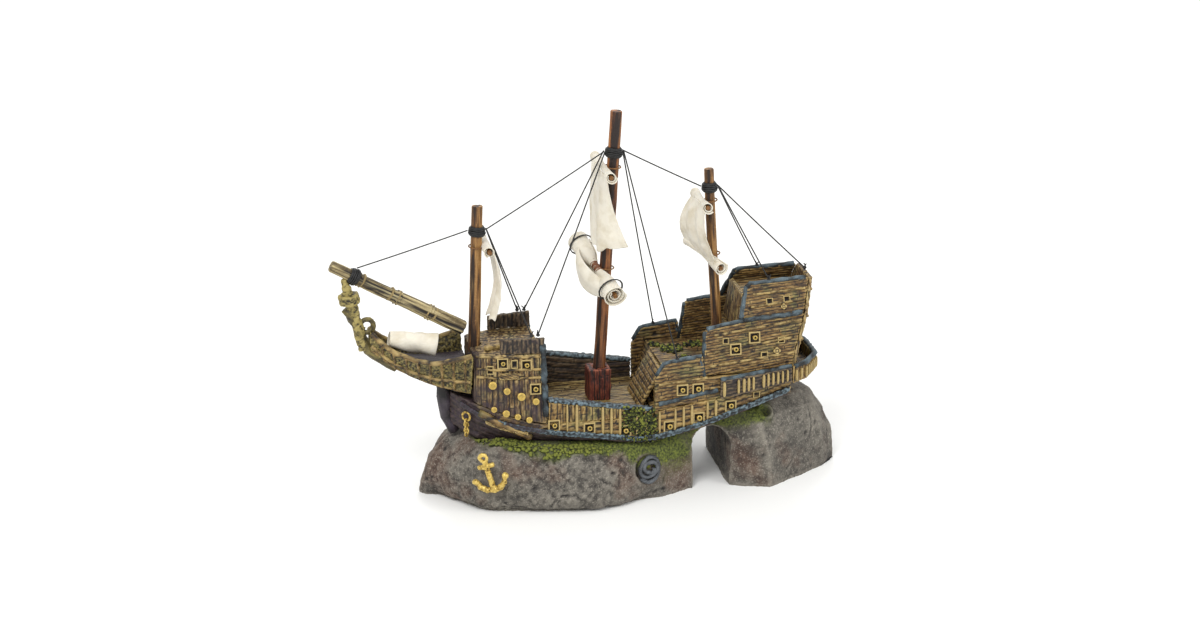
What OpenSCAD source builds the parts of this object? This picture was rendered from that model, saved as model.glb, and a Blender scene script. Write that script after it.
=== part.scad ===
// Aquarium bubbling ornament: a cast resin galleon wreck on a rock with a swim-through arch.
// Millimetres, +Z up, bow towards -X, port side towards -Y, the underside rests on Z = 0.

/* [Hull] */
// Half-breadth of the hull at the waist
half_beam = 28; // [24:1:30]
// Height of the waist deck above the rest plane
waist_z = 43; // [42:0.5:45]
// Wall of every bulwark and planked side
plank_t = 2.4; // [1.6:0.2:2.8]
// How far a wale stands proud of the side
wale_proud = 1.6; // [1:0.2:2.4]
// Glue line between pieces that seat on each other
fit = 0.2; // [0.1:0.05:0.3]

/* [Masts] */
// Height of the mainmast above its foot
main_h = 148; // [120:1:160]
// Radius of the mainmast
main_r = 3.1; // [2.4:0.1:3.4]
// Height of the foremast above its foot
fore_h = 76; // [70:1:90]
// Radius of the foremast
fore_r = 3; // [2.4:0.1:3.2]
// Height of the mizzenmast above its foot
mizzen_h = 97; // [90:1:105]
// Radius of the mizzenmast
mizzen_r = 2.6; // [2.2:0.1:3]
// Radius of the bowsprit at its heel
sprit_r = 3.6; // [2.8:0.1:3.8]

/* [Rigging] */
// Thread of the stays and shrouds
thread_d = 0.7; // [0.6:0.05:1]
// Radius of a yard
yard_r = 1.1; // [0.8:0.1:1.3]
// Running gap between a yard's loop and its mast
yard_gap = 0.5; // [0.4:0.05:0.6]
// Thickness of a cloth sail's solid
cloth_t = 1.2; // [0.8:0.1:1.4]

/* [Rock] */
// Width of the swim-through arch
arch_w = 20; // [14:1:22]
// Height of the arch's crown above the rest plane
arch_h = 31; // [24:1:31]
// Ceiling of the air chamber beside the arch
chamber_h = 22; // [19:0.5:23]

/* [Air line] */
// Outside diameter of the inlet nipple, for 4/6 mm air line
nipple_d = 4.6; // [4:0.1:5]
// Length of the nipple outside its flange
nipple_len = 8.3; // [6:0.1:8.3]
// Bore through the inlet and the tube
air_bore = 2.4; // [1.6:0.1:2.6]
// Diameter of the air stone
stone_d = 12; // [9:0.5:13]
// Length of the air stone
stone_len = 16; // [12:0.5:17]

/* [Hidden] */
$fn = 32;

thread_r = thread_d / 2;
past = 1; // how far a cut runs past the face that it opens
edge = 0.1; // how far a faceted side stays inside its neighbour's curve

// Colours
rock_grey = "#8a8578";
wood_ochre = "#a88a4e";
wood_dark = "#3a2a18";
slate = "#4d5d66";
mast_red = "#9a5a2c";
cloth_white = "#e8e4d8";
thread_black = "#1a1a1a";
gold = "#d8c96a";
moss_green = "#6f9136";
clear_pvc = "#cfd8dc";
stone_blue = "#7d8f9a";

// ---- Lines of the ship, as [x, value] pairs ----
function val(t, x) = is_list(t) ? lookup(x, t) : t;
function mix(a, b, f) = a + (b - a) * f;

beam = [
    [-72, 4], [-68, 10], [-60, 17], [-50, 22.5], [-40, half_beam - 2.5], [-27, half_beam - 0.5],
    [-10, half_beam], [60, half_beam], [80, half_beam - 1.5], [104, half_beam - 4]
];
keel_z = [[-72, 38], [-60, 31], [-40, 28], [20, 27], [30, 27.5], [50, 32], [60, 36], [80, 41], [98, 46.5]];
wale_z = [
    [-77, 56], [-60, 47], [-53, 44.5], [-29, 39.5], [0, 35], [20, 31.8], [30, 32.5], [50, 37],
    [80, 46], [104, 53]
];
hull_top = [
    [-72, 55.5], [-60, 52], [-45, 47], [-30, waist_z], [26.8, waist_z],
    [27, 45.5], [60, 50], [98, 57], [104, 58]
];
castle_aft = -27; // break of the forecastle
castle_z = 78; // forecastle deck
castle_beam = [[-62, 14.5], [-50, 19], [-36, 21], [-26, 22]]; // at its deck
half_z = 64; // half deck
gallery_z = 61.8; // underside of the quarter walls
quarter_z = 78; // quarterdeck
poop_z = 98; // poop deck
tier_top = [[27, 62], [32, 70], [51.6, 72.5], [52, gallery_z - fit], [104, gallery_z - fit]];
quarter_top = [[52, 84], [72, 87], [106, 89]];
quarter_beam_low = [[52, half_beam - 1], [104, half_beam - 4.5]];
quarter_beam_top = [[52, half_beam - 5], [106, half_beam - 8]];
poop_beam_top = [[72, half_beam - 15], [110, half_beam - 16]];
poop_top = [[72, 103], [110, 104.6]];
transom_foot = [98.2, gallery_z];
transom_head = [109.6, 104.6];
function transom_x(z) =
    mix(transom_foot.x, transom_head.x, (z - transom_foot.y) / (transom_head.y - transom_foot.y));

// Half-breadth of the forecastle's side at x and z
function castle_y(x, z) =
    mix(val(beam, x) - edge, val(castle_beam, x), (z - val(hull_top, x)) / (castle_z - val(hull_top, x)));
// Half-breadth of a quarter wall's side at x and z
function quarter_y(x, z) =
    mix(val(quarter_beam_low, x), val(quarter_beam_top, x), (z - gallery_z) / (val(quarter_top, x) - gallery_z));

// ---- Solids from rings of points ----
// Rings run counterclockwise about the way that they progress.
module loft(rings) {
    m = len(rings[0]);
    n = len(rings);
    polyhedron(
        points = [for (r = rings) each r],
        faces = concat(
            [[for (j = [0 : m - 1]) j]],
            [[for (j = [m - 1 : -1 : 0]) (n - 1) * m + j]],
            [for (i = [0 : n - 2], j = [0 : m - 1]) let (k = (j + 1) % m)
                each [[i * m + j, (i + 1) * m + j, (i + 1) * m + k], [i * m + j, (i + 1) * m + k, i * m + k]]]
        ),
        convexity = 6
    );
}

// A side wall on the +Y side: outer half-breadths and heights are tables or numbers.
// rake = [how far the top runs aft of the bottom at the fore end, and at the aft end].
module side_wall(xs, y_low, y_top, z_low, z_top, t = plank_t, rake = [0, 0]) {
    last = xs[len(xs) - 1];
    loft([for (x = xs)
        let (xt = x + mix(rake[0], rake[1], (x - xs[0]) / (last - xs[0])))
        [
            [x, val(y_low, x) - t, val(z_low, x)], [x, val(y_low, x), val(z_low, x)],
            [xt, val(y_top, xt), val(z_top, xt)], [xt, val(y_top, xt) - t, val(z_top, xt)]
        ]
    ]);
}

// A symmetric block between two heights, with its own half-breadth at each.
module block(xs, y_low, y_top, z_low, z_top, rake = [0, 0]) {
    last = xs[len(xs) - 1];
    loft([for (x = xs)
        let (
            xt = x + mix(rake[0], rake[1], (x - xs[0]) / (last - xs[0])),
            a = val(y_low, x), b = val(y_top, xt), lo = val(z_low, x), hi = val(z_top, xt)
        )
        [[x, -a, lo], [x, a, lo], [xt, b, hi], [xt, -b, hi]]
    ]);
}

function plus(t, d) = is_list(t) ? [for (p = t) [p[0], p[1] + d]] : t + d;

module port() mirror([0, 1, 0]) children();

// Puts +Z along the line from p to q
module along(p, q) {
    v = q - p;
    translate(p) rotate([0, acos(v.z / norm(v)), atan2(v.y, v.x)]) children();
}
module rod(p, q, r1, r2) along(p, q) cylinder(h = norm(q - p), r1 = r1, r2 = is_undef(r2) ? r1 : r2);
module ring(major, minor) rotate_extrude() translate([major, 0]) circle(minor, $fn = 16);

// ---- Rock ----
// Footprint seen from above, counterclockwise from the aft tip
rock_outline = [
    [130, 2], [126, 14], [114, 26], [98, 34], [80, 36], [62, 34], [46, 40], [28, 44], [4, 43], [-20, 41],
    [-44, 40], [-64, 35], [-80, 20], [-88, 2], [-81, -9], [-74, -16], [-65, -34], [-44, -39],
    [-4, -44], [24, -33], [50, -21], [64, -21], [76, -26], [87, -29], [103, -19], [121, -8]
];
rock_height = [
    [-88, 22], [-72, 33], [-50, 35], [-20, 32], [20, 29], [45, 34], [58, 38], [80, 41], [100, 45],
    [116, 43], [130, 31]
];
rock_axis = [18, 0]; // the rings draw in towards this line fore and aft
// Each ring of the rock: [how far it draws in, share of the height]
rock_steps = [
    [0, -0.1], [0, 0], [0.01, 0.25], [0.04, 0.55], [0.12, 0.8], [0.26, 0.94], [0.5, 1], [0.8, 1]
];
rock_rough = 1.1;

function rock_point(i, s) =
    let (
        p = rock_outline[i],
        q = [mix(p.x, mix(p.x, rock_axis.x, 0.5), s[0]), mix(p.y, 0, s[0])],
        lump = s[1] > 0 && s[1] < 1 ? rock_rough * sin(137 * i + 220 * s[1]) : 0
    )
    [q.x - lump * sign(p.x - rock_axis.x) * 0.6, q.y - abs(lump) * sign(p.y),
        s[1] * lookup(q.x, rock_height)];

module rock_mass() {
    n = len(rock_outline);
    rings = [for (s = rock_steps) [for (i = [0 : n - 1]) rock_point(i, s)]];
    k = len(rings);
    top = n * k;
    polyhedron(
        points = concat([for (r = rings) each r], [[rock_axis.x, 0, lookup(rock_axis.x, rock_height)]]),
        faces = concat(
            [[for (j = [0 : n - 1]) j]],
            [for (i = [0 : k - 2], j = [0 : n - 1]) let (m = (j + 1) % n)
                each [[i * n + j, (i + 1) * n + j, (i + 1) * n + m], [i * n + j, (i + 1) * n + m, i * n + m]]],
            [for (j = [0 : n - 1]) [(k - 1) * n + j, top, (k - 1) * n + (j + 1) % n]]
        ),
        convexity = 6
    );
}

arch_x = 58; // middle of the arch
air_x = 34; // line of the inlet, the tube and the stone
air_z = 12;
wall_in_y = 28; // chamber face of the rear wall
wall_out_y = 34; // floor of the inlet's recess
chamber_y = [-16, wall_in_y];
chamber_x = 22;
recess_r = 7;
behind = 60; // clear of the rear of the rock

// A rough arch: straight legs under a many-sided crown
module arch() {
    r = arch_w / 2;
    spring = arch_h - r; // where the crown springs from the legs
    rotate([90, 0, 0]) linear_extrude(120, center = true) polygon(concat(
        [[arch_x - r, -past], [arch_x + r, -past]],
        [for (a = [4 : 19 : 176]) [arch_x + r * cos(a), spring + r * sin(a)]]
    ));
}

module rock_base() color(rock_grey) difference() {
    rock_mass();
    translate([-200, -200, -50]) cube([400, 400, 50]); // the flat underside
    hull_form(fit, 40);
    arch();
    translate([chamber_x, chamber_y[0], -past])
        cube([arch_x - chamber_x, chamber_y[1] - chamber_y[0], chamber_h + past]);
    y_rod(wall_out_y, behind, recess_r);
    y_rod(wall_in_y - past, behind, barrel_r + fit);
    coil_place() ring(coil_r, coil_wire + fit);
}

// ---- Air line ----
barrel_r = 3;
flange = [5.5, 1.5]; // radius and thickness
spigot_r = nipple_d / 2 - 0.1;
spigot_len = 8;
tube_wall = 0.8;
tube_gap = 0.2;
stone_y = -4; // near end of the air stone
stem_in = 4; // how deep the stem seats in the stone
stem_out = 7;
stone_end = stone_y + stone_len;

module y_rod(y0, y1, r) translate([air_x, y1, air_z]) rotate([90, 0, 0]) cylinder(h = y1 - y0, r = r);

module air_inlet() color(clear_pvc) difference() {
    union() {
        y_rod(wall_in_y - spigot_len, wall_in_y, spigot_r);
        y_rod(wall_in_y, wall_out_y + fit, barrel_r);
        y_rod(wall_out_y + fit, wall_out_y + fit + flange[1], flange[0]);
        y_rod(wall_out_y + fit + flange[1], wall_out_y + fit + flange[1] + nipple_len, nipple_d / 2);
    }
    y_rod(0, behind, air_bore / 2);
}

module air_tube() color(clear_pvc) difference() {
    y_rod(stone_end + 1.5, wall_in_y - 0.4, spigot_r + tube_gap + tube_wall);
    y_rod(0, behind, spigot_r + tube_gap);
}

module stone_clip() color(wood_dark) {
    clip_r = stone_d / 2 + 0.3;
    difference() {
        union() {
            y_rod(0, 5, clip_r + 1.7);
            translate([air_x - 3, 0, air_z]) cube([6, 5, chamber_h - fit - air_z]);
        }
        y_rod(-past, 5 + past, clip_r);
    }
}

module air_stone() color(stone_blue) difference() {
    y_rod(stone_y, stone_end, stone_d / 2);
    y_rod(stone_end - stem_in, stone_end + past, spigot_r + fit);
}

module stone_stem() color(clear_pvc) difference() {
    y_rod(stone_end - stem_in + fit, stone_end + stem_out, spigot_r);
    y_rod(0, behind, air_bore / 2);
}

// ---- Hull ----
hull_xs = [-72, -68, -60, -50, -40, -30, -27, -10, 20, 26.8, 27, 50, 60, 80, 98];
floor_share = 0.62; // half-breadth of the flat bottom, as a share of the beam
bilge_drop = 3;

// The hull's outside, grown by g, with its top lifted by up
module hull_form(g = 0, up = 0) {
    loft([for (i = [0 : len(hull_xs) - 1])
        let (
            x = hull_xs[i], b = val(beam, x) + g, w = val(wale_z, x), k = val(keel_z, x) - g,
            xx = x + (i == 0 ? -g : i == len(hull_xs) - 1 ? g : 0), t = val(hull_top, x) + up
        )
        [
            [xx, -floor_share * b, k], [xx, floor_share * b, k], [xx, b - 0.8, w - bilge_drop],
            [xx, b, w], [xx, b, t], [xx, -b, t], [xx, -b, w], [xx, 0.8 - b, w - bilge_drop]
        ]
    ]);
}

module hull() color(wood_ochre) hull_form();

wale_xs = [-68, -60, -50, -40, -27, -10, 20, 30, 50, 60, 80, 97];
wale_half = 1.3; // half the height of a wale
module wale() side_wall(
    wale_xs, plus(beam, wale_proud), plus(beam, wale_proud), plus(wale_z, -wale_half), plus(wale_z, wale_half),
    wale_proud - 0.15
);
module wales() color(slate) {
    wale();
    port() wale();
}

deck_t = 1.2;
waist_xs = [castle_aft + 0.5, -10, 10, 26.5];
deck_inset = plank_t + 2 * fit; // a deck's edge inside the planking
module waist_deck() color(wood_ochre)
    block(waist_xs, plus(beam, -deck_inset), plus(beam, -deck_inset), waist_z + fit, waist_z + fit + deck_t);

rail_h = 1.8;
port_sheer = [[-29, 57], [0, 52], [24, 48], [27, 47.6]]; // top of the waist rail
starboard_sheer = [[-29, 63], [0, 58.5], [16, 55.5], [27, 54]];
module waist_bulwark(sheer)
    side_wall(waist_xs, beam, beam, waist_z + fit, plus(sheer, -rail_h - fit));
module waist_rail(sheer)
    side_wall(waist_xs, plus(beam, 0.9), plus(beam, 0.9), plus(sheer, -rail_h), sheer, plank_t + 1.6);
module port_waist_bulwark() color(wood_ochre) port() waist_bulwark(port_sheer);
module starboard_waist_bulwark() color(wood_dark) waist_bulwark(starboard_sheer);
module waist_rails() color(slate) {
    port() waist_rail(port_sheer);
    waist_rail(starboard_sheer);
}

module stem_post() color(wood_dark) loft([
    for (s = [[37, -74.6], [44, -75.4], [54.5, -76.6]])
    [[s[1], -2.2, s[0]], [-72 - fit, -2.2, s[0]], [-72 - fit, 2.2, s[0]], [s[1], 2.2, s[0]]]
]);

// ---- Masts ----
main_foot = [3.7, 0, waist_z + 3];
main_lean = 0.0647; // run aft for each unit of height
fore_foot = [-59.1, 0, 74];
fore_lean = 0.04;
mizzen_foot = [66.2, 0, 64.6];
mizzen_lean = -0.064;
function mast_at(foot, lean, z) = [foot.x + lean * (z - foot.z), 0, z];
function main_at(z) = mast_at(main_foot, main_lean, z);
function fore_at(z) = mast_at(fore_foot, fore_lean, z);
function mizzen_at(z) = mast_at(mizzen_foot, mizzen_lean, z);
sprit_tip = [-129, 0, 124];
sprit_heel = [-63.9, 0, 86.6];
sprit_share = 0.75; // the tip's radius as a share of the heel's

module foremast() color(mast_red) rod(fore_foot, fore_at(fore_foot.z + fore_h), fore_r, fore_r - 0.3);
module mainmast() color(mast_red) rod(main_foot, main_at(main_foot.z + main_h), main_r, main_r - 0.2);
module mizzenmast() color(mast_red)
    rod(mizzen_foot, mizzen_at(mizzen_foot.z + mizzen_h), mizzen_r, mizzen_r - 0.2);
module bowsprit() color(wood_ochre) rod(sprit_heel, sprit_tip, sprit_r, sprit_r * sprit_share);

step_w = 11;
step_top = 61;
module mast_step() color(mast_red) difference() {
    z0 = waist_z + deck_t + 2 * fit;
    translate([main_at(50).x - step_w / 2, -step_w / 2, z0]) cube([step_w, step_w, step_top - z0]);
    rod(main_at(main_foot.z - fit), main_at(step_top + past), main_r + fit);
}

// ---- Forecastle ----
castle_xs = [-61.6, -60, -50, -40, -36, castle_aft];
module forecastle() color(wood_ochre) difference() {
    block(castle_xs, plus(beam, -edge), castle_beam, plus(hull_top, fit), castle_z);
    rod(fore_at(fore_foot.z - fit), fore_at(castle_z + 3), fore_r + fit);
}

castle_rail_z = 86;
castle_rail_t = 2.2;
module castle_side()
    side_wall(
        [-49, -36, castle_aft], plus(castle_beam, -0.2), plus(castle_beam, -0.8), castle_z + fit, castle_rail_z,
        castle_rail_t
    );
module forecastle_rail() color(wood_dark) {
    castle_side();
    port() castle_side();
}

// ---- Beakhead ----
beak_xs = [-111, -107, -100, -89, -80, -70, -62.6];
beak_z_low = [[-113, 81.5], [-96, 67], [-77, 59.5], [-62, 56.5]];
beak_z_top = [[-113, 91.5], [-107, 85], [-100, 79.5], [-89, 76], [-81, 75], [-62, 79]];
beak_y_low = [[-113, 3.2], [-96, 5], [-77, 9], [-62, 13]];
beak_y_top = [[-113, 3.4], [-107, 6], [-100, 9.5], [-89, 14.5], [-81, 17.5], [-62, 20.5]];
beak_t = 2;
module beak_side() side_wall(beak_xs, beak_y_low, beak_y_top, beak_z_low, beak_z_top, beak_t);
module beak_starboard_side() color(wood_ochre) beak_side();
module beak_port_side() color(wood_ochre) port() beak_side();
floor_gap = 0.9; // clears the twist of the basket's sides
beak_floor = [[-113, 84.2], [-96, 73.4], [-77, 70], [-62, 70]];
function beak_share(x, z) = (z - lookup(x, beak_z_low)) / (lookup(x, beak_z_top) - lookup(x, beak_z_low));
function beak_y(x, z) = mix(lookup(x, beak_y_low), lookup(x, beak_y_top), beak_share(x, z));
module beak_keel() color(wood_ochre) block(
    beak_xs, plus(beak_y_low, -beak_t - 0.6),
    [for (x = beak_xs) [x, beak_y(x, lookup(x, beak_floor)) - beak_t - floor_gap]],
    beak_z_low, beak_floor
);

module figurehead() color("#9a9358") {
    rod([-114, 0, 79.5], [-120, 0, 106], 2.1, 2.4);
    along([-120, 0, 104], [-120.5, 0, 108]) cylinder(h = 4.4, r = 4.6);
    rod([-120.6, 0, 107], [-122.6, 0, 116.3], 2.2, 1.2);
}

// ---- Sterncastle ----
deck_edge = [[51, half_beam - deck_inset], [52, half_beam - 1.6 - deck_inset], [66, half_beam - 2 - deck_inset]];
module half_deck() color(wood_ochre) difference() {
    block([29, 40, 50, 51.4, 60, 66], plus(beam, -deck_inset), deck_edge, plus(hull_top, fit), half_z, [5, 0]);
    rod(mizzen_at(half_z - 8), mizzen_at(half_z + 3), mizzen_r + fit);
}

ramp_y = [-19, 8];
module boarding_ramp() color(wood_ochre)
    translate([0, ramp_y[1], 0]) rotate([90, 0, 0]) linear_extrude(ramp_y[1] - ramp_y[0])
        polygon([
            [20.5, waist_z + deck_t + 2 * fit], [22.6, waist_z + deck_t + 2 * fit],
            [33.4, half_z - 0.4], [31.6, half_z + 1]
        ]);

tier_xs = [27, 32, 40, 51.6, 52, 60, 80, 97];
module tier_wall() side_wall(tier_xs, beam, beam, plus(hull_top, fit), tier_top);
module starboard_tier_wall() color(wood_ochre) tier_wall();
module port_tier_wall() color(wood_ochre) port() tier_wall();

module quarter_wall() side_wall(
    [52, 60, 72, 84, transom_foot.x - fit], quarter_beam_low, quarter_beam_top, gallery_z, quarter_top,
    plank_t, [2, transom_x(89) - transom_foot.x]
);
module starboard_quarter_wall() color(wood_ochre) quarter_wall();
module port_quarter_wall() color(wood_ochre) port() quarter_wall();

quarter_fore = 67.6;
module quarterdeck() color(wood_ochre) difference() {
    block(
        [quarter_fore, 80, 97], plus(beam, -deck_inset - 0.5), [[66, half_beam - 7.4], [104, half_beam - 10.6]],
        plus(hull_top, fit), quarter_z, [0, transom_x(quarter_z) - transom_foot.x]
    );
    rod(mizzen_at(half_z - 8), mizzen_at(quarter_z + 3), mizzen_r + fit);
}

poop_fore = 75;
module poop_deck() color(wood_ochre) block(
    [poop_fore, 88, transom_x(quarter_z) - 0.4],
    [[70, half_beam - 10.8], [104, half_beam - 12.4]], [[70, half_beam - 15.8], [110, half_beam - 16.8]],
    quarter_z + fit, poop_z, [2, transom_x(poop_z) - transom_x(quarter_z)]
);
module cabin_front() color(wood_ochre) translate([0, 0, quarter_z + fit]) loft([
    for (s = [[0, half_beam - 10.6, 0], [20.5, half_beam - 16, 2]])
    [[72.8 + s[2], -s[1], s[0]], [poop_fore - fit + s[2], -s[1], s[0]],
        [poop_fore - fit + s[2], s[1], s[0]], [72.8 + s[2], s[1], s[0]]]
]);

module poop_wall() side_wall(
    [72.4, 84, 96, transom_x(89) - fit], plus(quarter_beam_top, -0.3), poop_beam_top,
    plus(quarter_top, fit), poop_top, 2.2, [5, transom_x(104.6) - transom_x(89)]
);
module starboard_poop_wall() color(wood_ochre) poop_wall();
module port_poop_wall() color(wood_ochre) port() poop_wall();

transom_t = 2;
module transom() color(wood_ochre) loft([
    for (s = [[gallery_z, half_beam - 5], [89, half_beam - 8.2], [104.6, half_beam - 16.2]])
    let (x = transom_x(s[0]) + fit)
    [[x, -s[1], s[0]], [x + transom_t, -s[1], s[0]], [x + transom_t, s[1], s[0]], [x, s[1], s[0]]]
]);

// ---- Stern gallery ----
gallery_low = [[60, 50.5], [98, 55.5]];
gallery_top = [[60, 60], [98, 63.2]];
gallery_deep = 2.8;
gallery_beam = plus(beam, gallery_deep + fit);
module gallery() side_wall(
    [60, 72, 80, 97.8], gallery_beam, gallery_beam, gallery_low, gallery_top, gallery_deep
);
module starboard_gallery() color(wood_ochre) gallery();
module port_gallery() color(wood_ochre) port() gallery();

gallery_fore = 98.4;
gallery_outline = [
    [gallery_fore, -27.6], [107, -22], [115, -10], [115, 10], [107, 22], [gallery_fore, 27.6]
];
module stern_gallery() color(wood_ochre) difference() {
    translate([0, 0, 54.5]) linear_extrude(9) polygon(gallery_outline);
    translate([0, 0, 57]) linear_extrude(9)
        polygon([for (p = gallery_outline) p.x > 108 ? [p.x - 2, p.y] : [p.x - 1.6, p.y * 0.92]]);
}

// ---- Guns ----
gun_len = 3.2;
gun_gap = 0.7; // clears the twist of a raked side
module gun(x, y, z, r, side)
    translate([x, side * (y + gun_gap), z]) rotate([-90 * side, 0, 0]) cylinder(h = gun_len, r = r);
module guns(side) color(gold) {
    for (g = [[-48, 74, 1.2], [-36.5, 73, 1.2], [-32.5, 61, 1.2]])
        gun(g[0], castle_y(g[0], g[1] - g[2]), g[1], g[2], side);
    for (i = [0 : 3]) let (x = -53.6 + 6.9 * i, z = 63 - 2.7 * i) gun(x, castle_y(x, z - 1.8), z, 1.75, side);
    for (i = [0 : 3]) let (x = -53 + 5.5 * i) gun(x, val(beam, x), 50.6 - 1.6 * i, 1.5, side);
    for (x = [-24, -6.3, 12, 34.5, 49.5, 66]) gun(x, val(beam, x), val(wale_z, x) + 3.6, 1.3, side);
    for (x = [41, 49]) gun(x, val(beam, x), 56, 1.3, side);
    for (g = [[69, 74], [79, 79]]) gun(g[0], quarter_y(g[0], g[1] - 1.3), g[1], 1.3, side);
}
module port_cannons() guns(-1);
module starboard_cannons() guns(1);

// ---- Ground tackle on the rock ----
anchor_ring = [-60.5, -34.8, 29.5];
anchor_crown = [-56, -37.2, 14.5];
arm_r = 8.4; // radius of the anchor's curved arms
function arm_at(t) = [arm_r * sin(t), 0, arm_r - arm_r * cos(t)];
module anchor() color(gold) {
    shank = norm(anchor_ring - anchor_crown);
    along(anchor_crown, anchor_ring) {
        cylinder(h = shank, r = 0.95);
        for (t = [-75 : 25 : 75]) translate(arm_at(t)) sphere(1.1, $fn = 16);
        for (t = [-75 : 25 : 50]) rod(arm_at(t), arm_at(t + 25), 1);
        translate([0, 0, shank - 3]) rotate([0, 90, 0]) cylinder(h = 8, r = 0.8, center = true);
        translate([0, 0, shank + 1.4]) rotate([90, 0, 0]) ring(1.8, 0.55);
    }
}

hawse = [-65.6, -13.4, 45];
hawse_turn = -41; // the ring lies flat against the bow, which runs at this angle in plan
link_r = 1.3;
link_wire = 0.4;
link_pitch = 2 * (link_r - link_wire) - 0.1;
hawse_r = 2.2;
hawse_wire = 0.55;
first_link = -hawse_r + hawse_wire + link_wire + 0.05 - link_r; // its middle, below the ring's
module anchor_chain() color(gold) translate(hawse) rotate([90, 0, hawse_turn]) {
    ring(hawse_r, hawse_wire);
    for (i = [0 : 4]) translate([0, first_link - link_pitch * i, 0])
        rotate([0, i % 2 ? 0 : 90, 0]) ring(link_r, link_wire);
}

coil_r = 6;
coil_wire = 2;
module coil_place() translate([23, -31.6, 17]) rotate([78, 0, 14]) children();
module rope_coil() color("#3d4043") coil_place() ring(coil_r, coil_wire);

split_xs = [-50, -44, -39.5]; // the split plank across the forecastle's side
split_z = [66.2, 69.6];
module loose_planks() color(wood_ochre) port() {
    side_wall([-57, -50, -40, -37], plus(beam, 1.7), plus(beam, 1.7), plus(wale_z, -3.2), plus(wale_z, -1.6), 1.6);
    side_wall(
        split_xs, [for (x = split_xs) [x, castle_y(x, split_z[0]) + 1.6]],
        [for (x = split_xs) [x, castle_y(x, split_z[1]) + 1.6]], split_z[0], split_z[1], 1.1
    );
}

// ---- Lashings and rigging ----
turn_r = 0.45; // radius of one turn of a lashing
module lashing(at, top, r, n) along(at, top)
    for (i = [0 : n - 1]) translate([0, 0, 1.5 * turn_r * i]) ring(r + fit + turn_r, turn_r);
lash = [173, 137, 152]; // heights of the lashings: main, fore, mizzen
sprit_lash = 13.5; // distance of the bowsprit's lashing from its tip
sprit_dir = (sprit_heel - sprit_tip) / norm(sprit_heel - sprit_tip);
sprit_lash_at = sprit_tip + sprit_dir * sprit_lash;
module lashings() color(thread_black) {
    lashing(main_at(lash[0] - 1), main_at(lash[0] + 9), main_r, 4);
    lashing(fore_at(lash[1] - 1), fore_at(lash[1] + 9), fore_r, 4);
    lashing(mizzen_at(lash[2] - 1), mizzen_at(lash[2] + 9), mizzen_r, 4);
    lashing(sprit_lash_at, sprit_tip, sprit_r * (sprit_share + 0.06), 3);
}

// A thread's end beside a mast's lashing: fore (-1) or aft (1) of the mast, and dy to one side
function tie(p, r, way, dy) = [p.x + way * (r + fit + 2 * turn_r + thread_r + 0.2), dy, p.z];
main_tie = main_at(lash[0] + 0.5);
fore_tie = fore_at(lash[1] + 0.5);
mizzen_tie = mizzen_at(lash[2] + 0.5);
sprit_tie = sprit_lash_at + [1.2, 0, sprit_r + 1];
knot_r = 1.1;
castle_knot = [-33.5, val(castle_beam, -33.5) - 1.8, castle_rail_z + fit + knot_r];
tier_knot = [38.6, val(beam, 38.6) - plank_t / 2, lookup(38.6, tier_top) + fit + knot_r];
poop_knot = [89, val(poop_beam_top, 89) - 1.1, lookup(89, poop_top) + fit + knot_r];
stern_knot = [transom_x(transom_head.y) + 1.2, 0, transom_head.y + fit + knot_r];
function other_side(p) = [p.x, -p.y, p.z];

module thread(p, q) rod(p, q, thread_r);
module knot(p) translate(p) sphere(knot_r, $fn = 24);

module stays() color(thread_black) {
    thread(sprit_tie, tie(fore_tie, fore_r, -1, 0));
    thread(tie(fore_tie, fore_r, 1, 0), tie(main_tie, main_r, -1, 0));
    thread(tie(main_tie, main_r, 1, 0), tie(mizzen_tie, mizzen_r, -1, 0));
    thread(tie(mizzen_tie, mizzen_r, 1, 0), stern_knot);
    knot(stern_knot);
}
tie_out = 1.4; // spread of the shrouds at a lashing
module fore_shrouds() color(thread_black) for (s = [-1, 1]) {
    end = s > 0 ? castle_knot : other_side(castle_knot);
    thread(tie(fore_tie, fore_r, 1, s * tie_out), end);
    knot(end);
}
main_out = [3.4, 0, 0]; // the main shrouds' own knots stand this far abaft the fore shrouds'
module main_shrouds() color(thread_black) for (s = [-1, 1]) {
    ahead = (s > 0 ? castle_knot : other_side(castle_knot)) + main_out + [0, s * -0.6, 0];
    abaft = s > 0 ? tier_knot : other_side(tier_knot);
    thread(tie(main_tie, main_r, -1, s * tie_out), ahead);
    thread(tie(main_tie, main_r, 1, s * tie_out), abaft);
    knot(ahead);
    knot(abaft);
}
module mizzen_shrouds() color(thread_black) for (s = [-1, 1]) {
    end = s > 0 ? poop_knot : other_side(poop_knot);
    thread(tie(mizzen_tie, mizzen_r, 1, s * tie_out), end);
    knot(end);
}

// ---- Yards and sails ----
// A yard across a mast, way = -1 before it or 1 abaft it, with the thread loop that holds it
module yard(at, axis_to, mast, way, half_len, rake = [0, 0]) {
    off = way * (mast + yard_gap + yard_r);
    rod(at + [off + rake[0], -half_len, -rake[1]], at + [off - rake[0], half_len, rake[1]], yard_r);
    along(at, axis_to) ring(mast + yard_gap + thread_r, thread_r);
}

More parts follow.
